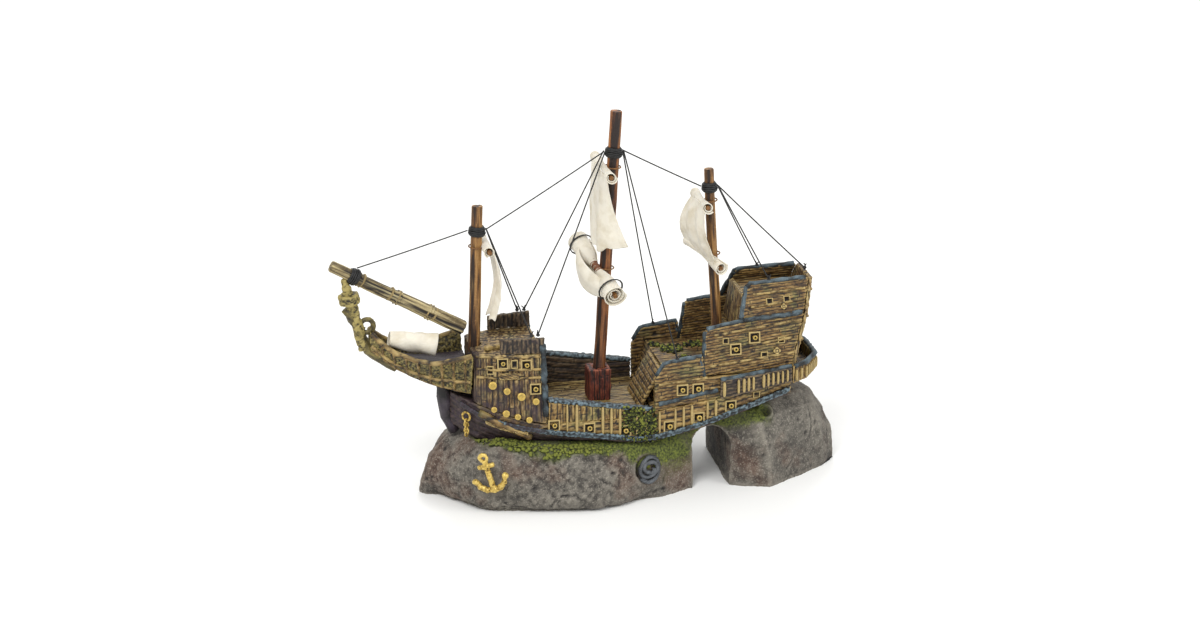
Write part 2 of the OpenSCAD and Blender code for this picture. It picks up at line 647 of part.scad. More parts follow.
// A cloth solid from rows of points, cloth_t thick towards +X
module cloth(rows) {
    m = len(rows[0]);
    n = len(rows);
    front = [for (r = rows) each r];
    back = [for (p = front) p + [cloth_t, 0, 0]];
    k = m * n;
    function id(i, j) = i * m + j;
    polyhedron(
        points = concat(front, back),
        faces = concat(
            [for (i = [0 : n - 2], j = [0 : m - 2])
                each [[id(i, j), id(i, j + 1), id(i + 1, j + 1)], [id(i, j), id(i + 1, j + 1), id(i + 1, j)]]],
            [for (i = [0 : n - 2], j = [0 : m - 2])
                each [[k + id(i, j), k + id(i + 1, j + 1), k + id(i, j + 1)],
                    [k + id(i, j), k + id(i + 1, j), k + id(i + 1, j + 1)]]],
            [for (j = [0 : m - 2]) [id(0, j + 1), id(0, j), k + id(0, j), k + id(0, j + 1)]],
            [for (j = [0 : m - 2]) [id(n - 1, j), id(n - 1, j + 1), k + id(n - 1, j + 1), k + id(n - 1, j)]],
            [for (i = [0 : n - 2]) [id(i, 0), id(i + 1, 0), k + id(i + 1, 0), k + id(i, 0)]],
            [for (i = [0 : n - 2]) [id(i + 1, m - 1), id(i, m - 1), k + id(i, m - 1), k + id(i + 1, m - 1)]]
        ),
        convexity = 6
    );
}

// Rows from head to foot: each foot point may swing forward, and the cloth bellies by sag
function sail_rows(head, foot, sag, n = 6) = [
    for (i = [0 : n]) let (f = i / n)
    [for (j = [0 : len(head) - 1]) mix(head[j], foot[j], f) + [sag * sin(180 * f), 0, 0]]
];

fore_yard_z = 129;
main_top_z = 165.5;
main_yard_z = 113.5;
mizzen_yard_z = [117, 145];

function yard_x(at, mast, way) = at.x + way * (mast + yard_gap + yard_r);

module fore_yard() color(mast_red) yard(fore_at(fore_yard_z), fore_at(fore_yard_z + 9), fore_r, 1, 12);
module fore_sail() color(cloth_white) {
    x = yard_x(fore_at(fore_yard_z), fore_r, 1);
    z = fore_yard_z - yard_r - fit;
    cloth(sail_rows(
        [for (y = [-12, -6, 0, 6, 12]) [x - 0.6, y, z]],
        [for (y = [-10, -5, 0, 5, 10]) [x - 1.5, y * 0.9, 92]], 3
    ));
}

module main_top_yard() color(mast_red) yard(main_at(main_top_z), main_at(main_top_z + 9), main_r, -1, 19);
module main_topsail() color(cloth_white) {
    x = yard_x(main_at(main_top_z), main_r, -1);
    z = main_top_z - yard_r - fit;
    cloth(sail_rows(
        [for (y = [-18, -9, -4.5, 0, 4.5, 9, 18]) [x - 0.6, y, z]],
        [
            [15.4, -10, 126], [7, -8.6, 126], [2.6, -5, 126], [1.4, 0, 126], [1.4, 4, 125.6],
            [2.4, 7, 125.3], [3.6, 10, 125]
        ],
        -0.8
    ));
}

roll_r = 4.8;
main_slant = [5.2, 8.5]; // how far the near end stands aft of, and below, the middle
module main_yard() color(mast_red)
    yard(main_at(main_yard_z), main_at(main_yard_z + 9), main_r, -1, 21, main_slant);
main_yard_at = main_at(main_yard_z) + [-(main_r + yard_gap + yard_r), 0, 0];
function on_yard(y) = main_yard_at + [-main_slant[0], 21, main_slant[1]] * y / 21;
module main_course() color(cloth_white) {
    difference() {
        union() {
            rod(on_yard(-19), on_yard(-5.4), roll_r);
            rod(on_yard(5.4), on_yard(19), roll_r);
            rod(on_yard(-6), on_yard(6), 2.4);
            cloth_bag(main_yard_at);
        }
        rod(on_yard(-22), on_yard(22), yard_r + fit);
        rod(main_at(main_yard_z - 30), main_at(main_yard_z + 30), main_r + yard_gap + thread_d + fit);
    }
}
// The slack of the furled sail, hanging before the yard
module cloth_bag(c) translate(c + [-3.2, 0, -4]) rotate([78, 0, 0]) cylinder(h = 24, r = 4, center = true);

module mizzen_yards() color(mast_red) {
    yard(mizzen_at(mizzen_yard_z[1]), mizzen_at(mizzen_yard_z[1] + 9), mizzen_r, -1, 13);
    yard(mizzen_at(mizzen_yard_z[0]), mizzen_at(mizzen_yard_z[0] + 9), mizzen_r, -1, 14, [5, 3.6]);
}
module mizzen_sail() color(cloth_white) {
    hx = yard_x(mizzen_at(mizzen_yard_z[1]), mizzen_r, -1);
    fx = yard_x(mizzen_at(mizzen_yard_z[0]), mizzen_r, -1);
    clear = yard_r + fit + cloth_t;
    cloth(sail_rows(
        [for (y = [-12, -6, 0, 6, 12]) [hx - 0.6, y, mizzen_yard_z[1] - yard_r - fit]],
        [for (y = [-12, -6, 0, 6, 12]) [fx - clear - 5 * y / 14, y, mizzen_yard_z[0] + 3.6 * y / 14]], -2.5
    ));
}

roll_ends = [[-101, 4.2], [-79, 6]]; // the rolled sail's ends and their radii
function roll_mid(e) = [e[0], 0, lookup(e[0], beak_floor) + e[1] + 0.6];
module sprit_sail() color(cloth_white)
    rod(roll_mid(roll_ends[0]), roll_mid(roll_ends[1]), roll_ends[0][1], roll_ends[1][1]);

module moss_clumps() color(moss_green)
    for (p = [[40, -14, 5], [48, -6, 4], [44, 8, 6], [56, 12, 5], [38, 16, 4]])
        translate([p.x, p.y, half_z + fit]) intersection() {
            translate([0, 0, -p.z * 0.55]) sphere(p.z);
            translate([-p.z, -p.z, 0]) cube([2 * p.z, 2 * p.z, p.z]);
        }

rock_base();
air_inlet();
air_tube();
stone_clip();
air_stone();
stone_stem();
hull();
wales();
waist_deck();
port_waist_bulwark();
starboard_waist_bulwark();
waist_rails();
stem_post();
forecastle();
forecastle_rail();
beak_port_side();
beak_starboard_side();
beak_keel();
figurehead();
bowsprit();
foremast();
mainmast();
mizzenmast();
mast_step();
half_deck();
boarding_ramp();
port_tier_wall();
starboard_tier_wall();
port_quarter_wall();
starboard_quarter_wall();
quarterdeck();
port_poop_wall();
starboard_poop_wall();
poop_deck();
cabin_front();
transom();
port_gallery();
starboard_gallery();
stern_gallery();
port_cannons();
starboard_cannons();
anchor();
anchor_chain();
rope_coil();
loose_planks();
lashings();
stays();
fore_shrouds();
main_shrouds();
mizzen_shrouds();
fore_yard();
fore_sail();
main_top_yard();
main_topsail();
main_yard();
main_course();
mizzen_yards();
mizzen_sail();
sprit_sail();
moss_clumps();
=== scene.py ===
"""The looks of a cast resin aquarium ornament, a galleon wreck on a rock, built around its CAD frame."""

from __future__ import annotations

import logging
import math
from dataclasses import dataclass, field
from enum import Enum
from typing import Callable, Iterable

import bpy
import numpy as np
from mathutils import Matrix, Vector
from mathutils.bvhtree import BVHTree

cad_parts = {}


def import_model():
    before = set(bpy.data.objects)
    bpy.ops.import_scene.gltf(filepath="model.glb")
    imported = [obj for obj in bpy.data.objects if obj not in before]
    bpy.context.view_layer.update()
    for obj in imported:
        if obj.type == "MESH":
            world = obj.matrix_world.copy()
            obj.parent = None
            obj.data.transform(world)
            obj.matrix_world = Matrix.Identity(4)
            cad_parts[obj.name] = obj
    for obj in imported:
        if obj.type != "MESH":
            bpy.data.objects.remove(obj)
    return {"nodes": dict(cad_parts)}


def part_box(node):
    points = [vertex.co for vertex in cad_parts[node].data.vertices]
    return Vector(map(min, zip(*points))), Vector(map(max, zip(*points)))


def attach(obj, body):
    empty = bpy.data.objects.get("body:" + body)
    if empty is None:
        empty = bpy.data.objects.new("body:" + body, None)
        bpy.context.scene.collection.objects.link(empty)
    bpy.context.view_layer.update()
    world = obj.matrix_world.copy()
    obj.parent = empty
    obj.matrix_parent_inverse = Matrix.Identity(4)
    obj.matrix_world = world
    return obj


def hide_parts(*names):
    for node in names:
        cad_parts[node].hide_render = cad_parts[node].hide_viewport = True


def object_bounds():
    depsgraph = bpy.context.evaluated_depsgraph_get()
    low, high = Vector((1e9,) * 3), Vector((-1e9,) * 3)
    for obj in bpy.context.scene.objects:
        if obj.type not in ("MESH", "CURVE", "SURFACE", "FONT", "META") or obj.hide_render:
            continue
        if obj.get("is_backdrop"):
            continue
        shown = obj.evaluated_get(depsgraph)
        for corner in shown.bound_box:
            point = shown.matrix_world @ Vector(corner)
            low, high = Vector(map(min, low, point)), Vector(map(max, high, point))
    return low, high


MM = 0.001
# Windows that no gun stands in: x and height of the middle, width and height, in millimetres
WINDOWS = (
    (-54.0, 70.5, 2.6, 3.2), (-42.3, 73.6, 2.4, 3.2), (84.0, 69.6, 2.8, 2.6), (93.0, 76.5, 2.6, 2.4),
    (64.0, 78.6, 2.4, 2.2), (88.0, 95.4, 2.6, 2.4), (97.0, 95.8, 2.6, 2.4), (79.5, 50.0, 2.6, 2.4),
)
# Where along the ship its sheer is lowest, in millimetres
SHEER_LOW = 18.0
LOG = logging.getLogger("galleon")
SHIP = "ship"
Points = np.ndarray
Piece = bpy.types.Object
Nodes = bpy.types.NodeTree


# ---------------------------------------------------------------- numbers and noise


def linear(code: str) -> tuple[float, float, float, float]:
    """Turns an sRGB hex code into a linear colour.

    Args:
        code: six hex digits, with or without a leading #.

    Returns:
        Red, green, blue and an alpha of 1.
    """
    digits = code.lstrip("#")
    parts = [int(digits[i : i + 2], 16) / 255 for i in (0, 2, 4)]
    r, g, b = (c / 12.92 if c <= 0.04045 else ((c + 0.055) / 1.055) ** 2.4 for c in parts)
    return (r, g, b, 1.0)


def hashed(cells: Points, seed: int) -> Points:
    """Gives every row of whole numbers its own fixed value from 0 to 1."""
    c = cells.astype(np.int64)
    h = c[..., 0] * 374761393 + c[..., 1] * 668265263 + c[..., 2] * 1274126177 + seed * 974634777
    h = (h ^ (h >> 13)) * 1103515245 & 0x7FFFFFFF
    h = (h ^ (h >> 11)) * 69069 & 0x7FFFFFFF
    return (h ^ (h >> 15)).astype(float) / 0x7FFFFFFF


def value_noise(points: Points, size: float, seed: int = 0) -> Points:
    """Smooth noise from -1 to 1 with lumps of a given size.

    Args:
        points: an array of rows x, y, z.
        size: how far apart the lumps lie, in the points' own unit.
        seed: picks another pattern.

    Returns:
        One value for each row.
    """
    q = points / size
    cell = np.floor(q)
    f = q - cell
    f = f * f * (3 - 2 * f)
    total = np.zeros(len(points))
    for dx in (0, 1):
        for dy in (0, 1):
            for dz in (0, 1):
                weight = (
                    (f[:, 0] if dx else 1 - f[:, 0])
                    * (f[:, 1] if dy else 1 - f[:, 1])
                    * (f[:, 2] if dz else 1 - f[:, 2])
                )
                total += weight * hashed(cell + (dx, dy, dz), seed)
    return total * 2 - 1


def lumps(points: Points, size: float, octaves: int, seed: int = 0) -> Points:
    """Adds noises of halving size and strength, for a natural surface."""
    total = np.zeros(len(points))
    for i in range(octaves):
        total += value_noise(points, size / 2**i, seed + 17 * i) / 2**i
    return total


def smoothstep(low: float, high: float, value: Points) -> Points:
    """Rises smoothly from 0 at low to 1 at high."""
    t = np.clip((value - low) / (high - low), 0, 1)
    return t * t * (3 - 2 * t)


def groove(position: Points, pitch: float, half_width: float) -> Points:
    """1 in the middle of each seam that comes every pitch, falling to 0 at half_width from it."""
    off = np.abs(position / pitch - np.round(position / pitch)) * pitch
    return np.clip(1 - off / half_width, 0, 1)


# ---------------------------------------------------------------- mesh helpers


def only(obj: Piece) -> None:
    """Makes one object the selected and active one."""
    bpy.ops.object.select_all(action="DESELECT")
    obj.select_set(True)
    bpy.context.view_layer.objects.active = obj


def settle(obj: Piece) -> Piece:
    """Puts an object's place into its mesh, so that the object sits at the origin."""
    only(obj)
    bpy.ops.object.transform_apply(location=True, rotation=True, scale=True)
    return obj


def tidy(obj: Piece, outward: bool = False) -> None:
    """Merges doubled vertices, and turns the faces outwards if asked."""
    only(obj)
    bpy.ops.object.mode_set(mode="EDIT")
    bpy.ops.mesh.select_all(action="SELECT")
    bpy.ops.mesh.remove_doubles(threshold=1e-6)
    if outward:
        bpy.ops.mesh.normals_make_consistent(inside=False)
    bpy.ops.object.mode_set(mode="OBJECT")


def modify(obj: Piece, kind: str, **settings: object) -> None:
    """Adds a modifier with its settings and applies it."""
    only(obj)
    mod = obj.modifiers.new(kind.title(), kind)
    for key, value in settings.items():
        setattr(mod, key, value)
    bpy.ops.object.modifier_apply(modifier=mod.name)


def read(obj: Piece, what: str = "co") -> Points:
    """A mesh's vertex places in millimetres, or its normals."""
    out = np.empty(len(obj.data.vertices) * 3)
    obj.data.vertices.foreach_get(what, out)
    return out.reshape(-1, 3) / (MM if what == "co" else 1)


def write(obj: Piece, points: Points) -> None:
    """Sets a mesh's vertex places, given in millimetres."""
    obj.data.vertices.foreach_set("co", (points * MM).ravel())
    obj.data.update()


def note(obj: Piece, **values: Points | float) -> None:
    """Stores numbers for each vertex under their names, for a material to read."""
    count = len(obj.data.vertices)
    for name, value in values.items():
        layer = obj.data.attributes.get(name) or obj.data.attributes.new(name, "FLOAT", "POINT")
        layer.data.foreach_set("value", np.broadcast_to(value, count).astype(np.float32))


def relaxed(obj: Piece, rounds: int, free: Points | float = 1.0) -> Points:
    """Vertex places after each has moved to its neighbours' mean several times, where it is free to."""
    co = read(obj)
    edges = np.empty(len(obj.data.edges) * 2, dtype=np.int64)
    obj.data.edges.foreach_get("vertices", edges)
    a, b = edges.reshape(-1, 2).T
    ends, others = np.concatenate([a, b]), np.concatenate([b, a])
    count = np.maximum(np.bincount(ends, minlength=len(co)), 1)
    share = np.broadcast_to(np.asarray(free, dtype=float), len(co))[:, None]
    for _ in range(rounds):
        mean = np.stack([np.bincount(ends, co[others, k], len(co)) for k in range(3)], 1) / count[:, None]
        co = co + (mean - co) * share
    return co


def hollowness(obj: Piece, rounds: int = 2) -> Points:
    """How far each vertex lies below its neighbours, in millimetres: above 0 in a hollow."""
    return np.einsum("ij,ij->i", relaxed(obj, rounds) - read(obj), read(obj, "normal"))


def smooth(obj: Piece, angle: float = 180) -> None:
    """Shades a mesh smooth up to an angle."""
    only(obj)
    if angle >= 180:
        bpy.ops.object.shade_smooth()
    else:
        bpy.ops.object.shade_smooth_by_angle(angle=math.radians(angle))


def join(objects: list[Piece], name: str) -> Piece:
    """Joins pieces into one mesh under a new name."""
    bpy.ops.object.select_all(action="DESELECT")
    for obj in objects:
        obj.select_set(True)
    bpy.context.view_layer.objects.active = objects[0]
    if len(objects) > 1:
        bpy.ops.object.join()
    objects[0].name = name
    objects[0].data.name = name
    return objects[0]


def copies(template: Piece, places: list[Matrix], name: str) -> Piece:
    """Repeats one modelled piece at every place, in millimetres, and removes the template."""
    to_metres = Matrix.Diagonal((MM, MM, MM, 1))
    made = []
    for place in places:
        twin = template.copy()
        twin.data = template.data.copy()
        twin.data.transform(to_metres @ place @ to_metres.inverted())
        bpy.context.scene.collection.objects.link(twin)
        made.append(twin)
    bpy.data.objects.remove(template)
    return join(made, name)


def strand(name: str, points: Iterable[Vector], radius: float, unit: float = MM) -> Piece:
    """A round curve through points, its sizes in millimetres unless another unit is given."""
    curve = bpy.data.curves.new(name, "CURVE")
    curve.dimensions = "3D"
    curve.bevel_depth = radius * unit
    curve.bevel_resolution = 2
    curve.use_fill_caps = True
    line = curve.splines.new("POLY")
    line.points.add(len(points) - 1)
    for point, at in zip(line.points, points):
        point.co = (*(Vector(at) * unit), 1)
    obj = bpy.data.objects.new(name, curve)
    bpy.context.scene.collection.objects.link(obj)
    return obj


def swept(name: str, points: Iterable[Vector], radius: float) -> Piece:
    """The same as a mesh."""
    only(strand(name, points, radius))
    bpy.ops.object.convert(target="MESH")
    return bpy.context.object


def bar(size: Vector, soft: float = 0.2) -> Piece:
    """A small bar with softened edges, its size in millimetres."""
    bpy.ops.mesh.primitive_cube_add(size=1)
    obj = bpy.context.object
    obj.scale = Vector(size) * MM
    settle(obj)
    modify(obj, "BEVEL", width=soft * MM, segments=2)
    return obj


def facing(at: Vector, out: Vector, along: Vector = Vector((1, 0, 0)),
           scale: Vector = Vector((1, 1, 1))) -> Matrix:
    """A place whose Y axis points out of a surface and whose X axis runs along it."""
    y = Vector(out).normalized()
    x = (Vector(along) - y * Vector(along).dot(y)).normalized()
    z = x.cross(y)
    turn = Matrix((x, y, z)).transposed().to_4x4()
    return Matrix.Translation(at) @ turn @ Matrix.Diagonal((*scale, 1))


# ---------------------------------------------------------------- the frame


def corners(node: str) -> list[Points]:
    """The lowest and highest corner of a CAD node's box, in millimetres."""
    return [np.array(corner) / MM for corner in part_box(node)]


@dataclass
class Line:
    """A round rod's axis: its two ends in millimetres and its radius."""

    low: Vector
    high: Vector
    radius: float


class Frame:
    """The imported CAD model, and what can be measured on it."""

    def __init__(self) -> None:
        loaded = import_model()
        self.nodes: dict[str, Piece] = loaded["nodes"]
        self.cad_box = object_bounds()
        self.trees: dict[tuple[str, ...], BVHTree] = {}
        self.wale_line: list[tuple[float, float]] = []
        self.holes: list[tuple[float, float, float, float]] = []
        bpy.ops.object.select_all(action="DESELECT")

    def wale(self) -> tuple[list[float], list[float]]:
        """The wale's x and height all along, measured once."""
        if not self.wale_line:
            for x in np.arange(-66, 96, 3.0):
                found = self.rim("wales", 0, x, 1, -1)
                if found:
                    self.wale_line.append((float(x), found.z))
        xs, zs = zip(*self.wale_line)
        return list(xs), list(zs)

    def openings(self) -> list[tuple[float, float, float, float]]:
        """Middle and half sizes, in x and z, of every port and window on the sides."""
        if not self.holes:
            for points in self.parts("port_cannons"):
                low, high = points.min(0), points.max(0)
                half = 0.85 * (high[2] - low[2])
                if half < 2.4:
                    self.holes.append(((low[0] + high[0]) / 2, (low[2] + high[2]) / 2, half, half))
            self.holes += [(x, z, w / 2, h / 2) for x, z, w, h in WINDOWS]
        return self.holes

    def ports(self, co: Points, normal: Points) -> Points:
        """1 inside a port on a side that faces outwards, 0 elsewhere."""
        inside = np.zeros(len(co))
        outward = normal[:, 1] * np.sign(co[:, 1]) > 0.5
        for x, z, w, h in self.openings():
            away = np.maximum(np.abs(co[:, 0] - x) - w, np.abs(co[:, 2] - z) - h)
            inside = np.maximum(inside, 1 - smoothstep(-0.35, 0.15, away))
        return inside * outward

    def copy(self, node: str, name: str) -> Piece:
        """A free, merged copy of a CAD node's mesh."""
        obj = bpy.data.objects.new(name, self.nodes[node].data.copy())
        bpy.context.scene.collection.objects.link(obj)
        obj.data.materials.clear()
        tidy(obj)
        return obj

    def parts(self, node: str) -> list[Points]:
        """The vertices of each separate solid of a node, in millimetres."""
        obj = self.copy(node, "measure")
        co = read(obj)
        owner = np.arange(len(co))
        edges = np.array([tuple(e.vertices) for e in obj.data.edges])
        changed = True
        while changed:
            low = np.minimum(owner[edges[:, 0]], owner[edges[:, 1]])
            before = owner.copy()
            np.minimum.at(owner, edges[:, 0], low)
            np.minimum.at(owner, edges[:, 1], low)
            owner = owner[owner]
            changed = bool((owner != before).any())
        bpy.data.objects.remove(obj)
        return [co[owner == k] for k in np.unique(owner)]

    @staticmethod
    def rod(points: Points) -> Line:
        """The axis of a long round solid, from its vertices."""
        middle = points.mean(0)
        way = np.linalg.svd(points - middle, full_matrices=False)[2][0]
        way = way if way[2] >= 0 else -way
        run = (points - middle) @ way
        ends = [points[run < run.min() + 0.4].mean(0), points[run > run.max() - 0.4].mean(0)]
        tip = points[run > run.max() - 0.4]
        return Line(Vector(ends[0]), Vector(ends[1]), float(np.linalg.norm(tip - ends[1], axis=1).max()))

    def line(self, node: str) -> Line:
        """The axis of a node that is one rod."""
        return self.rod(self.parts(node)[0])

    def skin(self, *nodes: str) -> BVHTree:
        """A tree of nodes' faces in millimetres, to find a point on their surface."""
        points, faces = [], []
        for node in nodes:
            mesh = self.nodes[node].data
            base = len(points)
            points += [v.co / MM for v in mesh.vertices]
            faces += [tuple(base + i for i in p.vertices) for p in mesh.polygons]
        return BVHTree.FromPolygons(points, faces)

    def tree(self, *nodes: str) -> BVHTree:
        """The nodes' skin, made once."""
        if nodes not in self.trees:
            self.trees[nodes] = self.skin(*nodes)
        return self.trees[nodes]

    def side(self, nodes: tuple[str, ...], x: float, z: float, way: int) -> tuple[Vector, Vector] | None:
        """The outermost point of some nodes at x and z on one side, and the way that the surface faces."""
        tree = self.tree(*nodes)
        hit, normal, _, _ = tree.ray_cast(Vector((x, way * 100, z)), Vector((0, -way, 0)))
        if hit is None or hit.y * way < 0:
            return None
        return hit, normal if normal.y * way > 0 else -normal

    def abaft(self, node: str, y: float, z: float) -> tuple[Vector, Vector] | None:
        """The aftermost point of a node at y and z, and the way that the surface faces."""
        hit, normal, _, _ = self.tree(node).ray_cast(Vector((200, y, z)), Vector((-1, 0, 0)))
        return None if hit is None else (hit, normal)

    def rim(self, node: str, held: int, value: float, out: int, sign: int) -> Vector | None:
        """The middle of a wall's edge: the furthest points along one axis where another axis has a value.

        Args:
            node: the CAD node of the wall.
            held: index of the axis whose value is given.
            value: that value in millimetres.
            out: index of the axis along which the edge is the furthest.
            sign: 1 for the highest, -1 for the lowest.

        Returns:
            The point, or None where the wall isn't there.
        """
        tree = self.tree(node)
        low, high = corners(node)
        free = 3 - held - out
        found = []
        for share in np.linspace(low[free], high[free], 60):
            start, way = Vector((0, 0, 0)), Vector((0, 0, 0))
            start[held], start[free], start[out] = value, share, sign * 400
            way[out] = -sign
            hit = tree.ray_cast(start, way)[0]
            if hit is not None:
                found.append(hit)
        if not found:
            return None
        best = max(h[out] * sign for h in found)
        near = [h for h in found if h[out] * sign > best - 0.35]
        return sum(near, Vector()) / len(near)


# ---------------------------------------------------------------- finishes


def add(tree: Nodes, kind: str, links: dict[object, object],
        **settings: object) -> bpy.types.Node:
    """Adds a node with its settings, and sets or links its inputs.

    Args:
        tree: the material's node tree.
        kind: the node's type name, without its ShaderNode prefix.
        links: input name or index to a value, or to a socket to link from.
        settings: properties of the node itself.

    Returns:
        The new node.
    """
    made = tree.nodes.new("ShaderNode" + kind)
    for key, value in settings.items():
        setattr(made, key, value)
    for key, value in links.items():
        if isinstance(value, bpy.types.NodeSocket):
            tree.links.new(value, made.inputs[key])
        else:
            made.inputs[key].default_value = value
    return made


class Coat(Enum):
    """How a finish's grain runs."""

    SPECKLED = (1.0, 1.0, 1.0)
    ALONG = (0.12, 1.0, 1.0)
    UPRIGHT = (1.0, 1.0, 0.12)


class Surface:
    """A material that is built once from its own sockets, and found by its name after that."""

    name: str

    def sockets(self, tree: Nodes) -> dict[str, object]:
        """What goes into the shader, by the name of its input."""
        raise NotImplementedError

    def material(self) -> bpy.types.Material:
        """The material, built when it is first asked for."""
        made = bpy.data.materials.get(self.name)
        if not made:
            made = bpy.data.materials.new(self.name)
            made.use_nodes = True
            tree = made.node_tree
            tree.nodes.clear()
            shader = add(tree, "BsdfPrincipled", self.sockets(tree))
            add(tree, "OutputMaterial", {"Surface": shader.outputs["BSDF"]})
        return made


@dataclass(frozen=True)
class Finish(Surface):
    """A painted or natural finish: three tones, a dark wash in hollows and a pale dry-brush on edges, which
    also serve as painted shade and painted highlight where a piece marks them.

    Sizes are in millimetres.
    """

    name: str
    tones: tuple[str, str, str]
    wash: str
    brush: str
    roughness: float = 0.62
    grain: Coat = Coat.SPECKLED
    patch: float = 6.0
    grit: float = 0.5
    relief: float = 0.08
    brushed: float = 0.8
    tint: str = ""
    metallic: float = 0.0
    fleck: float = 0.25

    def sockets(self, tree: Nodes) -> dict[str, object]:
        """Tones in patches, a wash in hollows, a dry brush on edges, painted shade and painted highlight
        where a piece marks them, then stains, char and moss.
        """
        place = add(tree, "TexCoord", {}).outputs["Object"]
        run = add(tree, "Mapping", {"Vector": place, "Scale": self.grain.value}).outputs["Vector"]
        broad = self.noise(tree, run, self.patch, 4)
        fine = self.noise(tree, run, self.grit * 2.5, 3)
        base, second, third = (linear(tone) for tone in self.tones)
        colour = self.mix(tree, self.spread(tree, broad, 0.38, 0.62), base, second)
        colour = self.mix(tree, self.attribute(tree, "board", 0.75), colour, third)
        if self.tint:
            patch = self.noise(tree, place, self.patch * 2.3, 3)
            colour = self.mix(tree, self.spread(tree, patch, 0.52, 0.66), colour, linear(self.tint))
        dark = add(tree, "Math", {0: self.spread(tree, fine, 0.3, 0.75), 1: 0.5},
                   operation="MULTIPLY").outputs[0]
        # Dark tone: the wash in hollows, and painted shade wherever a piece marks shade into this mask.
        sunk = add(tree, "Math", {0: self.attribute(tree, "cavity", 1.0), 1: dark}, operation="ADD",
                   use_clamp=True)
        colour = self.mix(tree, sunk.outputs[0], colour, linear(self.wash))
        # Pale tone: the dry brush on raised edges, and painted highlight wherever a piece marks light into
        # this mask.
        pale_and_lit = self.attribute(tree, "wear", self.brushed)
        colour = self.mix(tree, pale_and_lit, colour, linear(self.brush))
        speck = self.spread(tree, self.noise(tree, place, 0.8, 4), 0.54, 0.62)
        speck = add(tree, "Math", {0: speck, 1: self.fleck}, operation="MULTIPLY").outputs[0]
        pale = add(tree, "Math", {0: sunk.outputs[0], 1: 1.0}, operation="SUBTRACT").outputs[0]
        pale = add(tree, "Math", {0: speck, 1: pale}, operation="MULTIPLY").outputs[0]
        pale = add(tree, "Math", {0: pale, 1: -1.0}, operation="MULTIPLY", use_clamp=True).outputs[0]
        colour = self.mix(tree, pale, colour, linear(self.brush))
        burnt = self.mix(tree, self.spread(tree, fine, 0.3, 0.7), linear("#0f0b0d"), linear("#3a2a35"))
        colour = self.mix(tree, self.attribute(tree, "char", 1.0), colour, burnt)
        moss = self.mix(tree, self.spread(tree, fine, 0.35, 0.65), linear("#1d240a"), linear("#666f28"))
        colour = self.mix(tree, self.attribute(tree, "moss", 1.0), colour, moss)
        grit = self.noise(tree, place, self.grit, 3)
        bump = add(tree, "Bump", {"Height": grit, "Strength": 0.7, "Distance": self.relief * MM})
        return {
            "Base Color": colour, "Roughness": self.roughness, "Metallic": self.metallic,
            "Normal": bump.outputs["Normal"],
        }

    @staticmethod
    def noise(tree: Nodes, vector: object, size: float, detail: float) -> object:
        """Noise with lumps of a size in millimetres."""
        settings = {"Vector": vector, "Scale": 1 / (size * MM), "Detail": detail, "Roughness": 0.6}
        return add(tree, "TexNoise", settings).outputs["Fac"]

    @staticmethod
    def spread(tree: Nodes, value: object, low: float, high: float) -> object:
        """Stretches a narrow range of values to 0 and 1."""
        return add(tree, "MapRange", {0: value, 1: low, 2: high}).outputs[0]

    @staticmethod
    def attribute(tree: Nodes, name: str, strength: float) -> object:
        """A vertex number, times a strength."""
        value = add(tree, "Attribute", {}, attribute_name=name).outputs["Fac"]
        return add(tree, "Math", {0: value, 1: strength}, operation="MULTIPLY", use_clamp=True).outputs[0]

    @staticmethod
    def mix(tree: Nodes, factor: object, a: object, b: object) -> object:
        """Mixes two colours."""
        return add(tree, "Mix", {0: factor, 6: a, 7: b}, data_type="RGBA").outputs[2]


# Cast polyurethane resin, painted in ochre, washed dark and dry-brushed cream: the grain of old oak.
OCHRE = Finish(
    "cast_resin_painted_oak", ("#735323", "#8d6c33", "#573a19"), "#140b06", "#bfa468",
    grain=Coat.ALONG, patch=5, brushed=0.6, tint="#5f5b30",
)
# The same resin where the planks stand upright.
OCHRE_UPRIGHT = Finish(
    "cast_resin_upright_planks", ("#7f5e2b", "#65461d", "#4c3012"), "#140b06", "#c9b077",
    grain=Coat.UPRIGHT, patch=4, brushed=0.6, tint="#5d5830",
)
# Resin with the dark brown wash left thick.
DARK = Finish("cast_resin_dark_wash", ("#33231a", "#23180f", "#3f2c1a"), "#0a0605", "#77654a", patch=5,
              tint="#2c1f2a")
# Near-black resin of the bow, with its purple cast.
CHARRED = Finish("cast_resin_charred", ("#1d181a", "#151214", "#2a211c"), "#070506", "#5f5560", patch=4,
                 tint="#2a1f2d")
# Dark blue-grey painted rails, worn pale on their edges.
SLATE = Finish("cast_resin_slate_paint", ("#232d33", "#33424b", "#181f22"), "#090c0d", "#8197a1", patch=4,
               brushed=0.55)
# Olive-painted carving.
OLIVE = Finish("cast_resin_olive_paint", ("#665a2b", "#7d7038", "#4b401c"), "#130f07", "#b9a865", patch=4,
               brushed=0.55)
# Cream-painted mouldings.
CREAM = Finish("cast_resin_cream_paint", ("#8a6b35", "#a18347", "#634921"), "#180e06", "#d2bd80", patch=3,
               brushed=0.6)
# Gold paint over resin, dulled by a brown wash.
GOLD = Finish(
    "gold_paint_on_resin", ("#b08a32", "#94701f", "#c29c40"), "#2c1d07", "#ecd277",
    roughness=0.38, patch=1.5, metallic=0.35, brushed=0.6,
)
# Copper-coloured paint.
COPPER = Finish("copper_paint_on_resin", ("#7c3a24", "#95502f", "#642a1c"), "#1e0b07", "#d19a80", patch=3)
# Cast rock: grey-taupe with dark pits, pale grit, and rust and purple stains.
ROCK = Finish(
    "cast_resin_rock", ("#57534c", "#6f6a61", "#423d38"), "#1b1816", "#a8a193",
    roughness=0.82, patch=13, grit=0.45, relief=0.3, brushed=0.45, tint="#5b4438", fleck=0.5,
)
